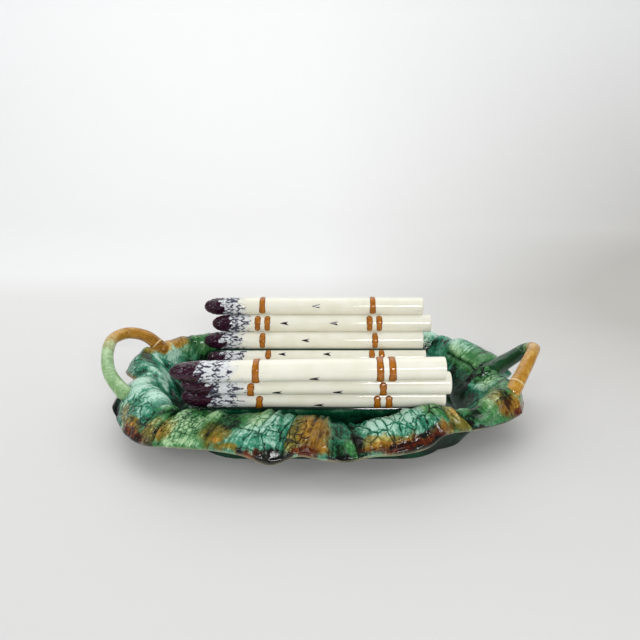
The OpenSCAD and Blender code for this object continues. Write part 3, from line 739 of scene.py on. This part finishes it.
def crease_height(name, across, outward, u_mm, v_mm):
    """The height of the leaf's folds, in mm, and how deep their grooves are, as a share of pooled glaze
    and painted shade.
    """
    height, groove_shading = np.zeros_like(across), np.zeros_like(across)
    for *marks, width, rise in creases.get(twins.get(name, name), []):
        u0, v0, u1, v1 = (mark / 100 for mark in marks)
        start, run = np.array([u0 * u_mm, v0 * v_mm]), np.array([(u1 - u0) * u_mm, (v1 - v0) * v_mm])
        along = np.clip(((across - start[0]) * run[0] + (outward - start[1]) * run[1]) / (run @ run), 0, 1)
        away = np.hypot(across - start[0] - along * run[0], outward - start[1] - along * run[1])
        form = np.exp(-(away / width) ** 2)
        height = height + rise * form
        groove_shading = groove_shading + max(-rise, 0) * form / 3
    return height, groove_shading


# %% Model one leaf, with heights in mm, and its top edges lapping over the next leaf
fold_gain, rib_h, lump_h, pleat_h, ruffle_h, bead_h = 1.25, 0.7, 2.0, 0.65, 1.6, 0.5
lap_degrees, lap_h, edge_r = 1.3, 1.6, 2.6


def model_leaf(name, seed):
    first, last, swell, thick, midrib, cell, on_top = leaves[name]
    first_in, last_in = first - lap_degrees * on_top[0], last + lap_degrees * on_top[1]
    probe = bed(np.array([first_in, last_in]), [crest_row])
    columns = max(12, int(np.linalg.norm(probe[0, 0] - probe[1, 0]) / mesh_step))
    line = bed(np.array([(first + last) / 2]), np.linspace(0, rim_rows, 40))[0]
    rows = int(np.linalg.norm(np.diff(line, axis=0), axis=1).sum() / mesh_step)
    angles = np.linspace(first_in, last_in, columns + 1)
    ground = bed(angles, np.linspace(0, rim_rows, rows + 1))
    out = normals_of(ground)
    u, v = np.meshgrid(np.linspace(0, 1, columns + 1), np.linspace(0, 1, rows + 1), indexing="ij")
    steps_u = np.linalg.norm(np.diff(ground, axis=0, prepend=ground[:1]), axis=2)
    steps_v = np.linalg.norm(np.diff(ground, axis=1, prepend=ground[:, :1]), axis=2)
    across, outward = np.cumsum(steps_u, axis=0) / mm, np.cumsum(steps_v, axis=1) / mm
    from_side = np.minimum(across, across[-1] - across)
    from_lip = outward[:, -1:] - outward
    wide, long = across[-1].mean(), outward[:, -1].mean()

    wander = noise_grid(across / 12, outward / 12, seed)
    drift = noise_grid(across / 12, outward / 12, seed + 7)
    lumps = noise_grid(across / 15, outward / 15, seed + 80)
    pleats = noise_grid(across / 5, outward / 26, seed + 30)
    ruffle = noise_grid(across / 9, outward / 30, seed + 50) * smooth(0.70, 0.95, v)
    rib_away = (u - midrib - 0.05 * np.sin(5 * v)) * wide
    rib = np.exp(-(rib_away / (1.8 - 0.8 * v)) ** 2) * (1 - smooth(0.70, 0.92, v))
    folds, groove_shade = crease_height(name, u * wide, v * long, wide, long)

    between = np.sin(np.pi * u)
    along = np.sin(np.pi * np.minimum(v, 0.98))
    thickness = leaf_t * thick * np.minimum(1, 0.25 + 4 * v) * (1 - 0.3 * v ** 4)
    swelling = leaf_swell * swell * between ** 0.7 * along
    relief = fold_gain * folds * smooth(0.05, 0.3, v) + rib_h * rib
    relief = relief + lump_h * lumps * along + pleat_h * pleats * along + ruffle_h * ruffle
    relief = relief * smooth(0, 2.5, from_side) * smooth(-0.5, 3, from_lip) * mm
    bead = bead_h * mm * np.exp(-((from_lip - 3.0) / 1.6) ** 2)
    height = np.maximum(thickness + swelling + relief + bead, 1.0 * mm)
    rounding = np.sqrt(1 - (1 - np.clip(np.minimum(from_side, from_lip) / edge_r, 0, 1)) ** 2)
    lapping = on_top[0] * smooth(0.16, 0, u) + on_top[1] * smooth(0.84, 1, u)
    lift = lap_h * mm * lapping * smooth(0.03, 0.2, v)
    top = ground + out * (lift + height * (0.12 + 0.88 * rounding))[:, :, None]
    under = ground + out * (lift * 0.9)[:, :, None]

    frayed = noise_grid(across / 3.5, outward / 3.5, seed + 11)
    shares = wash_shares(name, u, v, 0.09 * wander + 0.03 * frayed, 0.07 * drift + 0.03 * frayed)
    # Painted light and shade: the seams between leaves, the creases, low places and the leaf's foot by the
    # saddle get deeper glaze, as pooled glaze and painted shade; high places get paler glaze, as thin
    # glaze and a painted highlight.
    seam_shade = 0.5 * np.exp(-from_side / 1.4) * (1 - 0.3 * smooth(0.5, 0.9, v))
    low_lying_shade = smooth(0.1, -0.7, lumps + 0.25 * pleats) * along
    high_up_thin_and_lit = smooth(0.05, 0.7, lumps + 0.25 * pleats) * along
    shares["mint"] = np.clip(shares["mint"] + 0.4 * high_up_thin_and_lit, 0, 1)
    pool_and_shade = 0.62 * (1 - smooth(0.06, 0.40, v)) + seam_shade + groove_shade + 0.55 * low_lying_shade - 0.3 * rib
    shares["pool_and_shade"] = np.clip(pool_and_shade, 0, 1)
    # Painted highlight along the very edge of the lip.
    shares["lip_highlight"] = np.exp(-((from_lip - 0.3) / 0.5) ** 2) * (0.45 + 0.3 * wander)
    shares["net_x"], shares["net_y"] = across / cell + seed, outward / cell
    stalk_x, stalk_y = midrib * wide, -0.25 * long
    shares["fan"] = np.arctan2(across - stalk_x, outward - stalk_y) * long * 0.9 / 1.7 + seed
    shares["reach"] = np.hypot(across - stalk_x, outward - stalk_y) / 15
    bm = bmesh.new()
    press(bm, top, under, shares)
    finish_piece(bm, name + "_modelled", leaf_glaze, "leaf_glaze", name)


for k, name in enumerate(leaves):
    model_leaf(name, 3.7 * k)

# %% [markdown]
# ## Body, saddle and foot
#
# The leaves hide most of the body, but its floor shows at both ends and its underside shows from
# low down. It is a sheet too, between the bed and the underside. The saddle and the foot keep the
# construction model's shape, and their sharp edges are rounded, as a sponge rounds leather-hard clay.

# %% Green body glaze, pale where it runs thin over an edge, with a painted highlight along the edge
body_glaze, tree, shader, place = start_glaze("body glaze", 40.0)
depth = plus(times(mottled(place, 55.0, 300.0), 0.5), 0.55)
depth = plus(depth, times(painted(tree, "pool_and_shade"), 0.45))
depth = minus(depth, times(painted(tree, "edge"), 0.65), clamp=True)
colour = ramp(depth, tint(104, 152, 118), tint(12, 66, 42), tint(2, 22, 13))
tree.links.new(colour, shader.inputs["Base Color"])

# %% The dish's body
columns, floor_rings, wall_rings = 240, 12, 40
angles = np.linspace(0, 360, columns + 1)
wall_rows = np.linspace(0, body_rows, wall_rings)


def spokes(ring):
    """Smaller and smaller copies of a ring, from the middle out to the ring itself."""
    return np.stack([ring * [s, s, 1] for s in np.linspace(0, 1, floor_rings + 1)[:-1]], 1)


floor_ring = at_height(oval(floor_half_l, floor_half_d, angles), floor_z)
inside = np.concatenate([spokes(floor_ring), bed(angles, wall_rows)], 1)
outside = np.concatenate([spokes(underside(angles, [0])[:, 0]), underside(angles, wall_rows)], 1)
# Deeper glaze round the floor's edge, where floor meets wall: pooled glaze and painted shade.
row_number = np.broadcast_to(np.arange(inside.shape[1]), inside.shape[:2])
bm = bmesh.new()
press(bm, inside, outside, {"pool_and_shade": np.clip(1 - np.abs(row_number - floor_rings) / 8, 0, 1)})
seam = [face for face in bm.faces if all(abs(v.co.y) < 1e-7 and v.co.x > 0 for v in face.verts)]
bmesh.ops.delete(bm, geom=seam, context="FACES_ONLY")
bmesh.ops.remove_doubles(bm, verts=bm.verts, dist=0.01 * mm)
poles = [face for face in bm.faces if all(v.co.xy.length < 0.01 * mm for v in face.verts)]
bmesh.ops.delete(bm, geom=poles, context="FACES_ONLY")
bmesh.ops.dissolve_degenerate(bm, edges=bm.edges, dist=0.001 * mm)
finish_piece(bm, "dish_body_modelled", body_glaze, "green_glaze", "dish_body")


# %% A copy of a node with its sharp edges rounded, and the new faces painted pale, as thin glaze and a painted highlight
def sponge(node, radius, thin_glaze_and_sheen):
    bm = bmesh.new()
    bm.from_mesh(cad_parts[node].data)
    bmesh.ops.remove_doubles(bm, verts=bm.verts, dist=0.01 * mm)
    bmesh.ops.dissolve_limit(bm, angle_limit=math.radians(1), verts=bm.verts, edges=bm.edges)
    layer = bm.verts.layers.float.new("edge")
    corner = math.radians(35)
    sharp = [edge for edge in bm.edges if len(edge.link_faces) == 2 and edge.calc_face_angle() > corner]
    made = bmesh.ops.bevel(bm, geom=sharp, offset=radius, offset_type="OFFSET", affect="EDGES", segments=3,
                           profile=0.5, material=-1, clamp_overlap=True)
    for face in made["faces"]:
        for vert in face.verts:
            vert[layer] = thin_glaze_and_sheen
    bmesh.ops.triangulate(bm, faces=bm.faces)
    return bm


for node, thin_glaze_and_sheen in (("cradle_saddle", 0.55), ("foot_ring", 0.15)):
    finish_piece(sponge(node, 0.8 * mm, thin_glaze_and_sheen), node + "_sponged", body_glaze, "green_glaze", node)

# %% [markdown]
# ## Asparagus spears
#
# Each spear is a slightly tapering shaft with a cut end and a tip. The tip is covered with small
# pointed scales, each lying over the foot of the next, and the dark manganese glaze gathers along
# their free edges. Neighbouring spears were pressed together, so each is cut flat at its seams.

# %% Where the spears lie, from the front wall's top to the rear wall's top
wall_spears, spear_total = 4, 13
spear_names = (["front_spear_%d" % k for k in range(1, 5)] + ["floor_spear_%d" % k for k in range(1, 6)]
               + ["rear_spear_%d" % k for k in range(4, 0, -1)])
wall_dip = 90 - wall_lean
half_dips = [wall_dip, wall_dip, wall_dip, 22, 8, 2]
dips = half_dips + [-dip for dip in reversed(half_dips)]
fans = [-1.2, -0.6, -0.2] + [0] * 10
spear_shift_shares = [-0.056, -0.026, -0.036, -0.043, -0.038, -0.050, -0.034, -0.048, -0.040,
                      -0.028, -0.040, -0.004, -0.040]
spear_pitch = min(spear_d, neck_d) - 2 * seam_flat
shaft_l = spear_l - tip_l
low_z = floor_z + 3.6 * mm + spear_d / 2
steps = [spear_pitch * np.array([math.cos(math.radians(d)), -math.sin(math.radians(d))]) for d in dips]
spots = np.vstack([[0, 0], np.cumsum(steps, axis=0)])
spots = spots - spots[spear_total // 2] + [0, low_z]
print("the cradle is", round((spots[-1, 0] - spots[0, 0]) / mm), "mm wide at its top")


# %% Turn points from a spear's own axis (cut end at 0, tip upwards) to its place in the row
x_axis, y_axis, z_axis = 0, 1, 2


def turned(points, degrees, axis, towards):
    c, s = math.cos(math.radians(degrees)), math.sin(math.radians(degrees))
    made = np.array(points, dtype=float)
    made[..., axis] = c * points[..., axis] - s * points[..., towards]
    made[..., towards] = s * points[..., axis] + c * points[..., towards]
    return made


def on_spear(i, points):
    dip = dips[min(i, spear_total - 2)]
    laid = np.stack([spear_l / 2 - points[..., 2], points[..., 1], points[..., 0]], -1)
    fanned = turned(turned(laid, dip, y_axis, z_axis), fans[i], x_axis, y_axis)
    placed = turned(fanned, -dip, y_axis, z_axis)
    return placed + [spear_l * spear_shift_shares[i], spots[i, 0], spots[i, 1]]


def shaft_r(z):
    return (spear_d + (neck_d - spear_d) * np.clip(z / shaft_l, 0, 1)) / 2


# %% Ivory glaze with a violet tip, and green where the saddle's glaze ran over the lowest wall spears
# That green is painted dark there as shade, and a painted green shade and reflection lies under every
# spear.
spear_glaze, tree, shader, place = start_glaze("spear glaze", 30.0, 0.15 * mm)
soft = speckle(place, 60.0)
smear = speckle(place, 480.0, detail=3.0, roughness=0.7, distortion=0.6)
rough_edge = minus(smear, 0.5)


def ragged_wash(colour, name, raggedness, low, high, tone):
    """A glaze over the others where it was painted, with an edge that the smears break up."""
    share = plus(painted(tree, name), times(rough_edge, raggedness))
    return blend(share_of(share, low, high), colour, tone)


green_run_and_shade_tone = blend(share_of(painted(tree, "green_run_and_shade"), 0.55, 1.1), tint(128, 160, 134), tint(8, 42, 26))
fleck_tone = blend(share_of(smear, 0.4, 0.7), tint(74, 74, 90), tint(24, 22, 32))
violet_tone = blend(share_of(smear, 0.35, 0.68), tint(56, 16, 38), tint(15, 5, 14))
colour = blend(share_of(soft, 0.35, 0.7), tint(231, 228, 213), tint(225, 222, 203))
colour = blend(painted(tree, "lavender"), colour, tint(206, 210, 214))
colour = ragged_wash(colour, "green_run_and_shade", 0.5, 0.25, 0.75, green_run_and_shade_tone)
colour = ragged_wash(colour, "fleck", 1.1, 0.20, 0.56, fleck_tone)
colour = ragged_wash(colour, "violet", 0.9, 0.40, 0.58, violet_tone)
tree.links.new(colour, shader.inputs["Base Color"])

# %% The scales of a tip: rows of pointed scales, each with its point over the foot of the next
scale_pitch, scale_l, scale_ranks = 3.3 * mm, 7.0 * mm, 11


def scales(turn, z, seed):
    """At each turn and height: how high the top scale stands, and how near its pointed edge is."""
    height, outline = np.zeros_like(z), np.zeros_like(z)
    scaly_from = shaft_l - 16 * mm
    for k in reversed(range(int((spear_l - scaly_from) / scale_pitch) + 1)):
        place = turn * scale_ranks / 360 + 0.5 * (k % 2) + 0.13 * seed
        mark = np.sin(np.floor(place) * 12.9 + k * 78.2 + seed * 3.1)
        later = 0.30 * np.sin(np.floor(place) * 37.7 + k * 11.3 + seed * 5.1)
        y = (z - scaly_from - k * scale_pitch) / scale_l + later
        x = (place % 1) * 2 - 1 + 0.16 * mark
        narrow = np.clip(1 - np.clip(y, 0, 1) ** 1.5, 0, 1) ** 0.75 * 1.1
        over = (np.abs(x) < narrow) & (y >= 0) & (y <= 1)
        from_edge = np.minimum((narrow - np.abs(x)) * 3.4, (1 - y) * 8.5)
        close = np.exp(-(np.minimum(from_edge, 4) / (0.95 + 0.35 * mark)) ** 2) * smooth(0.3, 0.7, y)
        close = close * (y <= 1.12) * (0.85 + 0.4 * mark)
        outline = np.where(over, close, np.maximum(outline, close))
        height = np.where(over, (0.25 + 0.75 * y) * (1 - 0.35 * x * x), height)
    return height, outline


# %% Model one spear
ring_points, shaft_step, tip_step = 96, 3 * mm, 0.45 * mm


def model_spear(i):
    chamfer, cap_r = 0.9 * mm, spear_d / 2
    cap = [(0, 0), (cap_r * 0.5, 0), (cap_r - 2 * chamfer, 0), (cap_r - chamfer, 0.05 * chamfer),
           (cap_r - 0.3 * chamfer, 0.3 * chamfer), (cap_r - 0.05 * chamfer, 0.9 * chamfer)]
    fine_from, finish_z = shaft_l - 18 * mm, spear_l - 0.2 * mm
    shaft = [(shaft_r(z), z) for z in np.arange(2 * chamfer, fine_from, shaft_step)]
    point_z = np.append(np.arange(fine_from, finish_z, tip_step), finish_z)
    w = np.clip((point_z - shaft_l) / (finish_z - shaft_l), 0, 1)
    bluntness = 3.8 if i < wall_spears else 5.2
    tip = [(neck_d / 2 * math.sqrt(max(0, 1 - a ** bluntness)), z) for a, z in zip(w, point_z)]
    outline = np.array(cap + shaft + tip)
    turns, radii = np.meshgrid(np.linspace(0, 360, ring_points + 1), outline[:, 0], indexing="ij")
    heights = np.broadcast_to(outline[:, 1], turns.shape)
    cosine, sine = np.cos(np.radians(turns)), np.sin(np.radians(turns))
    scale_height, scale_edge = scales(turns, heights, i)
    fade = smooth(shaft_l - 14 * mm, shaft_l, heights) * smooth(0, 3 * mm, radii)
    wobble = noise_grid(cosine * 0.6 + heights / mm / 60, sine * 0.6, 5.3 * i)
    body = radii + (0.9 * scale_height - 0.7) * fade * mm + 0.22 * mm * wobble * smooth(0, 6 * mm, heights)
    body = np.where(radii > 0, np.maximum(body, 0), 0)
    placed = on_spear(i, np.stack([body * cosine, body * sine, heights], -1))

    from_tip = (spear_l - heights) / mm
    ragged_tip = from_tip + 9 * noise_grid(cosine * 1.5 + heights / mm / 7, sine * 1.5, 9.1 * i + 2)
    reach, pale_reach = (24, 66) if i < wall_spears else (19, 47)
    violet = smooth(reach + 4, reach - 4, ragged_tip)
    streaks = noise_grid(turns / 11, heights / mm / 9, 3.3 * i)
    fleck = 0.42 * scale_edge + 0.62 * smooth(0.0, 0.6, streaks) + 0.16 * smooth(46, 26, from_tip)
    fleck = smooth(pale_reach, 0.78 * pale_reach, ragged_tip) * fleck
    # Painted green under each spear, as shade and the dish's green reflected; on the outer face of the
    # lowest wall spears, the saddle's glaze run over, painted dark as shade.
    lower = (spots[i, 1] - placed[..., 2]) / mm
    green_run_and_shade = 0.62 * smooth(2, 8, lower) * smooth(85, 50, from_tip) * (0.55 + streaks)
    green_run_and_shade = green_run_and_shade + 0.42 * smooth(5.5, 8, lower) * smooth(60, 20, heights / mm)
    if i in (wall_spears - 1, spear_total - wall_spears):
        outward = (placed[..., 1] - spots[i, 0]) * np.sign(spots[i, 0]) / mm
        green_run_and_shade = np.maximum(green_run_and_shade, 1.3 * smooth(-4, -1, outward))
    clear = 1 - smooth(0.6, 0.9, green_run_and_shade)
    lavender = smooth(pale_reach, 0.7 * pale_reach, ragged_tip) * 0.85
    values = {"violet": violet * clear, "fleck": fleck * clear, "lavender": lavender, "green_run_and_shade": green_run_and_shade}

    bm = roll(placed, values)
    for j, side in ((i - 1, -1), (i, 1)):
        if 0 <= j < spear_total - 1:
            middle = (spots[j] + spots[j + 1]) / 2
            away = turned(np.array([0, side, 0]), (fans[j] + fans[j + 1]) / 2, x_axis, y_axis)
            away = turned(away, -dips[j], y_axis, z_axis)
            bmesh.ops.bisect_plane(bm, geom=bm.verts[:] + bm.edges[:] + bm.faces[:], dist=1e-6,
                                   plane_co=(0, middle[0], middle[1]), plane_no=away, clear_outer=True)
            bmesh.ops.holes_fill(bm, edges=[e for e in bm.edges if e.is_boundary])
    finish_piece(bm, spear_names[i] + "_modelled", spear_glaze, "ivory_glaze", spear_names[i], sharp=50)


for i in range(spear_total):
    model_spear(i)

# %% [markdown]
# ## Ties and bracts
#
# The withies are brush strokes of thick slip, laid across each spear one by one, with round ends
# and a low rounded back. A bract is a small pointed scale that clings to the spear and points to its
# tip. Both are pressed sheets whose lower side sinks a little into the spear.

# %% The open faces of a spear, as ranges of angle round it
seam_angle = math.degrees(math.acos(spear_pitch / spear_d)) + 5


def open_faces(i):
    to_next = -dips[i] if i < spear_total - 1 else 0
    to_last = 180 - dips[i - 1]
    if i == 0:
        return [(to_next + seam_angle, to_next + 360 - seam_angle)]
    if i == spear_total - 1:
        return [(to_last - 360 + seam_angle, to_last - seam_angle)]
    inner = (to_next + seam_angle, to_last - seam_angle)
    outer = (to_last + seam_angle, to_next + 360 - seam_angle)
    buried = wall_spears - 1 <= i <= spear_total - wall_spears
    return [inner] if buried else [inner, outer]


def bract_angles(i):
    if i == 0:
        return [-dips[0] + 90, -dips[0] + 270]
    if i == spear_total - 1:
        return [90 - dips[i - 1], -90 - dips[i - 1]]
    return [(face[0] + face[1]) / 2 for face in open_faces(i)]


def on_face(i, angle, z, lift):
    """Points on a spear's side, at angles round it from +Y towards +Z and heights above its cut end."""
    r = shaft_r(z) + lift
    turn = np.radians(90 - angle)
    return on_spear(i, np.stack([r * np.cos(turn), r * np.sin(turn), z], -1))


def sheet_shares(across, along):
    """Places on a sheet: -1 to 1 across it, and 0 to 1 along it."""
    return np.meshgrid(np.linspace(-1, 1, across), np.linspace(0, 1, along), indexing="ij")


def press_on(bm, i, angle, z, lift, sink, values):
    """A sheet on a spear's side, that sinks a little into it."""
    press(bm, on_face(i, angle, z, lift), on_face(i, angle, z, np.full_like(z, -sink)), values)


# %% Tie glaze and tie strokes
tie_glaze, tree, shader, place = start_glaze("tie glaze", 120.0, 0.1 * mm)
depth = plus(times(mottled(place, 260.0, 900.0), 0.4), times(painted(tree, "rim"), 0.35))
colour = ramp(depth, tint(176, 108, 26), tint(132, 74, 12), tint(62, 29, 4))
tree.links.new(colour, shader.inputs["Base Color"])

stroke_w, stroke_h, stroke_pitch = 6 * mm, 0.9 * mm, 10 * mm
stroke_trim = 5
tie_lean = [1.8 * mm, -0.8 * mm]
tie_place_shares = [-0.262, 0.235]
tie_strokes = [[1, 1, 1, 1, 2, 1, 2, 1, 2, 1, 1, 2, 1], [2, 1, 2, 1, 2, 1, 2, 1, 2, 2, 1, 2, 1]]
tie_stagger_shares = [[1, 0, 1, -0.2, 0, 0.3, 0, -0.3, 0, 0.7, -0.3, -0.3, -0.3],
                      [-0.2, -0.4, -0.2, -0.2, 0, 0.3, 0, -0.3, 0, 0.5, 0.2, 0.1, -0.2]]


def model_tie(end, name):
    bm = bmesh.new()
    s, t = sheet_shares(13, 41)
    for i in range(spear_total):
        strokes = tie_strokes[end][i]
        for k in range(strokes):
            x = spear_l * tie_place_shares[end] + stroke_w * tie_stagger_shares[end][i]
            x += (k - (strokes - 1) / 2) * stroke_pitch
            z = spear_l / 2 + spear_l * spear_shift_shares[i] - x
            for open_face in open_faces(i):
                face = (open_face[0] + stroke_trim, open_face[1] - stroke_trim)
                arc = math.radians(face[1] - face[0]) * spear_d / 2
                from_end = np.minimum(t, 1 - t) * arc
                near_end = np.clip(from_end / (stroke_w / 2), 0, 1)
                round_end = np.sqrt(np.clip(1 - (1 - near_end) ** 2, 0.02, 1))
                uneven = 1 + 0.08 * np.sin(9 * t + i) + 0.05 * np.sin(23 * t + 2 * i + k)
                half_w = stroke_w / 2 * round_end * uneven
                lift = stroke_h * (1 - s ** 4) * near_end ** 0.4 * uneven
                lean = tie_lean[end] * (t - 0.5) * (1 if spots[i, 0] < 0 else 0.3)
                place_z = z + s * half_w + lean
                angle = face[0] + (face[1] - face[0]) * t
                rim = np.clip(1 - np.minimum(1 - np.abs(s), from_end / half_w.max()) * 2.2, 0, 1)
                press_on(bm, i, angle, place_z, lift, 0.4 * mm, {"rim": rim})
    finish_piece(bm, name + "_strokes", tie_glaze, "tie_glaze", name)


model_tie(0, "tip_end_tie")
model_tie(1, "cut_end_tie")

# %% Bract glaze and bracts
bract_glaze, tree, shader, place = start_glaze("bract glaze", 200.0, 0.1 * mm)
smear = speckle(place, 700.0, roughness=0.6)
dark = share_of(plus(painted(tree, "stain"), times(smear, 0.5)), 0.45, 0.8)
tree.links.new(blend(dark, tint(150, 138, 140), tint(24, 18, 26)), shader.inputs["Base Color"])

bract_l, bract_w, bract_h = 9 * mm, 4.6 * mm, 0.6 * mm
bract_shares = [[-0.027], [-0.164, 0.058], [-0.011], [-0.10, 0.09], [0.03], [-0.13], [0.01],
                [-0.09, 0.10], [0.05], [-0.18, 0.022], [-0.074], [-0.17, 0.054], [-0.027]]


def model_bracts():
    bm = bmesh.new()
    s, t = sheet_shares(11, 17)
    for i in range(spear_total):
        for share in bract_shares[i]:
            z = spear_l / 2 + spear_l * (spear_shift_shares[i] - share)
            for middle in bract_angles(i):
                half_w = bract_w / 2 * np.clip(1 - t, 0.02, 1) ** 0.8
                notch = 0.25 * bract_l * (1 - np.abs(s)) * (1 - t)
                place_z = z - bract_l / 2 + notch + t * bract_l
                angle = middle + np.degrees(s * half_w / (spear_d / 2))
                lift = bract_h * (0.25 + 0.75 * t) * (1 - np.abs(s) ** 3) * smooth(1, 0.85, t)
                stain = np.clip(0.45 + 0.9 * t + 0.4 * s, 0, 1)
                press_on(bm, i, angle, place_z, lift, 0.3 * mm, {"stain": stain})
    finish_piece(bm, "spear_bracts_modelled", bract_glaze, "bract_glaze", "spear_bracts")


model_bracts()

# %% [markdown]
# ## Stem handles
#
# Each handle is a rolled coil of clay, bent to a loop and luted to the leaves at both ends. Its
# route is a smooth curve through a few points. The left one's points are the construction model's
# but for the last. The right one's are drawn in further at its top, as the photograph shows it.
# A ring of points is carried along it, with low ribs and the small bumps that fingers leave.

# %% Stem glaze: green and amber meet along the loop
stem_glaze, tree, shader, place = start_glaze("stem glaze", 70.0)
mottle = mottled(place, 120.0, 600.0)
# Deeper glaze where the pool share is high: pooled glaze and painted shade.
depth = plus(times(mottle, 0.5), painted(tree, "pool_and_shade"), clamp=True)
green = ramp(depth, tint(176, 200, 154), tint(122, 160, 108), tint(16, 60, 30))
amber = ramp(depth, tint(208, 166, 78), tint(164, 116, 36), tint(90, 52, 10))
meet = plus(painted(tree, "amber"), times(minus(mottle, 0.5), 0.4))
colour = blend(share_of(meet, 0.1, 0.9), green, amber)
colour = blend(share_of(painted(tree, "collar"), 0.4, 0.9), colour, tint(208, 182, 130))
tree.links.new(colour, shader.inputs["Base Color"])

# %% The routes, as shares of the lip's half length, the lip's half depth and the rim's height
left_stem_shares = [[-0.940, -0.340, 0.90], [-1.010, -0.230, 1.04], [-1.053, -0.103, 1.17],
                    [-1.082, 0.069, 1.28], [-1.090, 0.240, 1.33], [-1.053, 0.370, 1.33],
                    [-0.989, 0.400, 1.30], [-0.926, 0.397, 1.20], [-0.855, 0.365, 0.98]]
right_stem_shares = [[0.905, -0.330, 0.90], [0.965, -0.210, 1.12], [1.026, -0.060, 1.27],
                     [1.084, 0.130, 1.25], [1.057, 0.225, 1.11], [0.999, 0.225, 0.95],
                     [0.931, 0.173, 0.85], [0.874, 0.104, 0.78]]
stem_d, stem_flare, stem_columns = 12 * mm, 2.6 * mm, 48

# %% Follow the route with a ring, and close it with a round end at each root
end_reach, end_width = np.array([0.35, 0.65, 0.9, 1.0]), np.array([0.94, 0.76, 0.44, 0.0])


def stem_route(shares, steps_each):
    points = np.array(shares) * [lip_half_l, lip_half_d, rim_h]
    last = len(points) - 1
    q = np.linspace(0, last, last * steps_each + 1)
    i = np.minimum(np.floor(q).astype(int), last - 1)
    return through(points, [np.clip(i + step, 0, last) for step in (-1, 0, 1, 2)], q - i)


def model_stem(shares, node, marks):
    route = stem_route(shares, 12)
    count = len(route)
    ahead = np.gradient(route, axis=0)
    ahead /= np.linalg.norm(ahead, axis=1)[:, None]
    side = np.cross([0, 0, 1], ahead)
    side /= np.linalg.norm(side, axis=1)[:, None]
    up = np.cross(ahead, side)
    place_along = np.linspace(0, 1, count)
    radius = (stem_d + stem_flare * np.abs(2 * place_along - 1) ** 4) / 2
    collar = np.exp(-((place_along - marks["collar"]) / 0.008) ** 2)
    radius = radius * np.interp(place_along, marks["at"], marks["width"]) + 0.4 * mm * collar
    before, after = (np.outer(end_reach, way) for way in (-ahead[0] * radius[0], ahead[-1] * radius[-1]))
    route = np.concatenate([route[0] + before[::-1], route, route[-1] + after])
    narrow = np.concatenate([end_width[::-1], np.ones(count), end_width])
    ends = len(end_reach)
    side, up, radius, place_along, collar = (
        np.concatenate([rows[:1].repeat(ends, 0), rows, rows[-1:].repeat(ends, 0)])
        for rows in (side, up, radius, place_along, collar))
    turns = np.radians(np.linspace(0, 360, stem_columns + 1))
    turn, along = np.meshgrid(turns, place_along, indexing="ij")
    ribs = 0.10 * mm * np.cos(7 * turn + 2 * along)
    ribs = ribs + 0.25 * mm * noise_grid(np.cos(turn) + along * 9, np.sin(turn), 4.4)
    r = (radius[None, :] - 0.25 * mm + ribs) * narrow[None, :]
    skin = route + (r * np.cos(turn))[:, :, None] * side + (r * np.sin(turn))[:, :, None] * up
    values = {"amber": np.interp(place_along, marks["at"], marks["amber"]),
              "pool_and_shade": np.interp(place_along, marks["at"], marks["pool_and_shade"]), "collar": collar}
    values = {key: np.broadcast_to(row, turn.shape) for key, row in values.items()}
    finish_piece(roll(skin, values), node + "_modelled", stem_glaze, "stem_glaze", node)


# The pool shares are pooled glaze and painted shade: the right handle's rear branch is painted dark as
# shade.
model_stem(left_stem_shares, "left_handle",
           {"at": [0, 0.28, 0.55, 1], "amber": [0, 0, 1, 1], "pool_and_shade": [0.1, 0.05, 0.1, 0.45],
            "width": [1, 1, 1, 1], "collar": 0.94})
model_stem(right_stem_shares, "right_handle",
           {"at": [0, 0.42, 0.55, 1], "amber": [1, 1, 0, 0], "pool_and_shade": [0.15, 0.05, 0.7, 0.9],
            "width": [1.05, 1.0, 1.1, 1.5], "collar": 0.07})
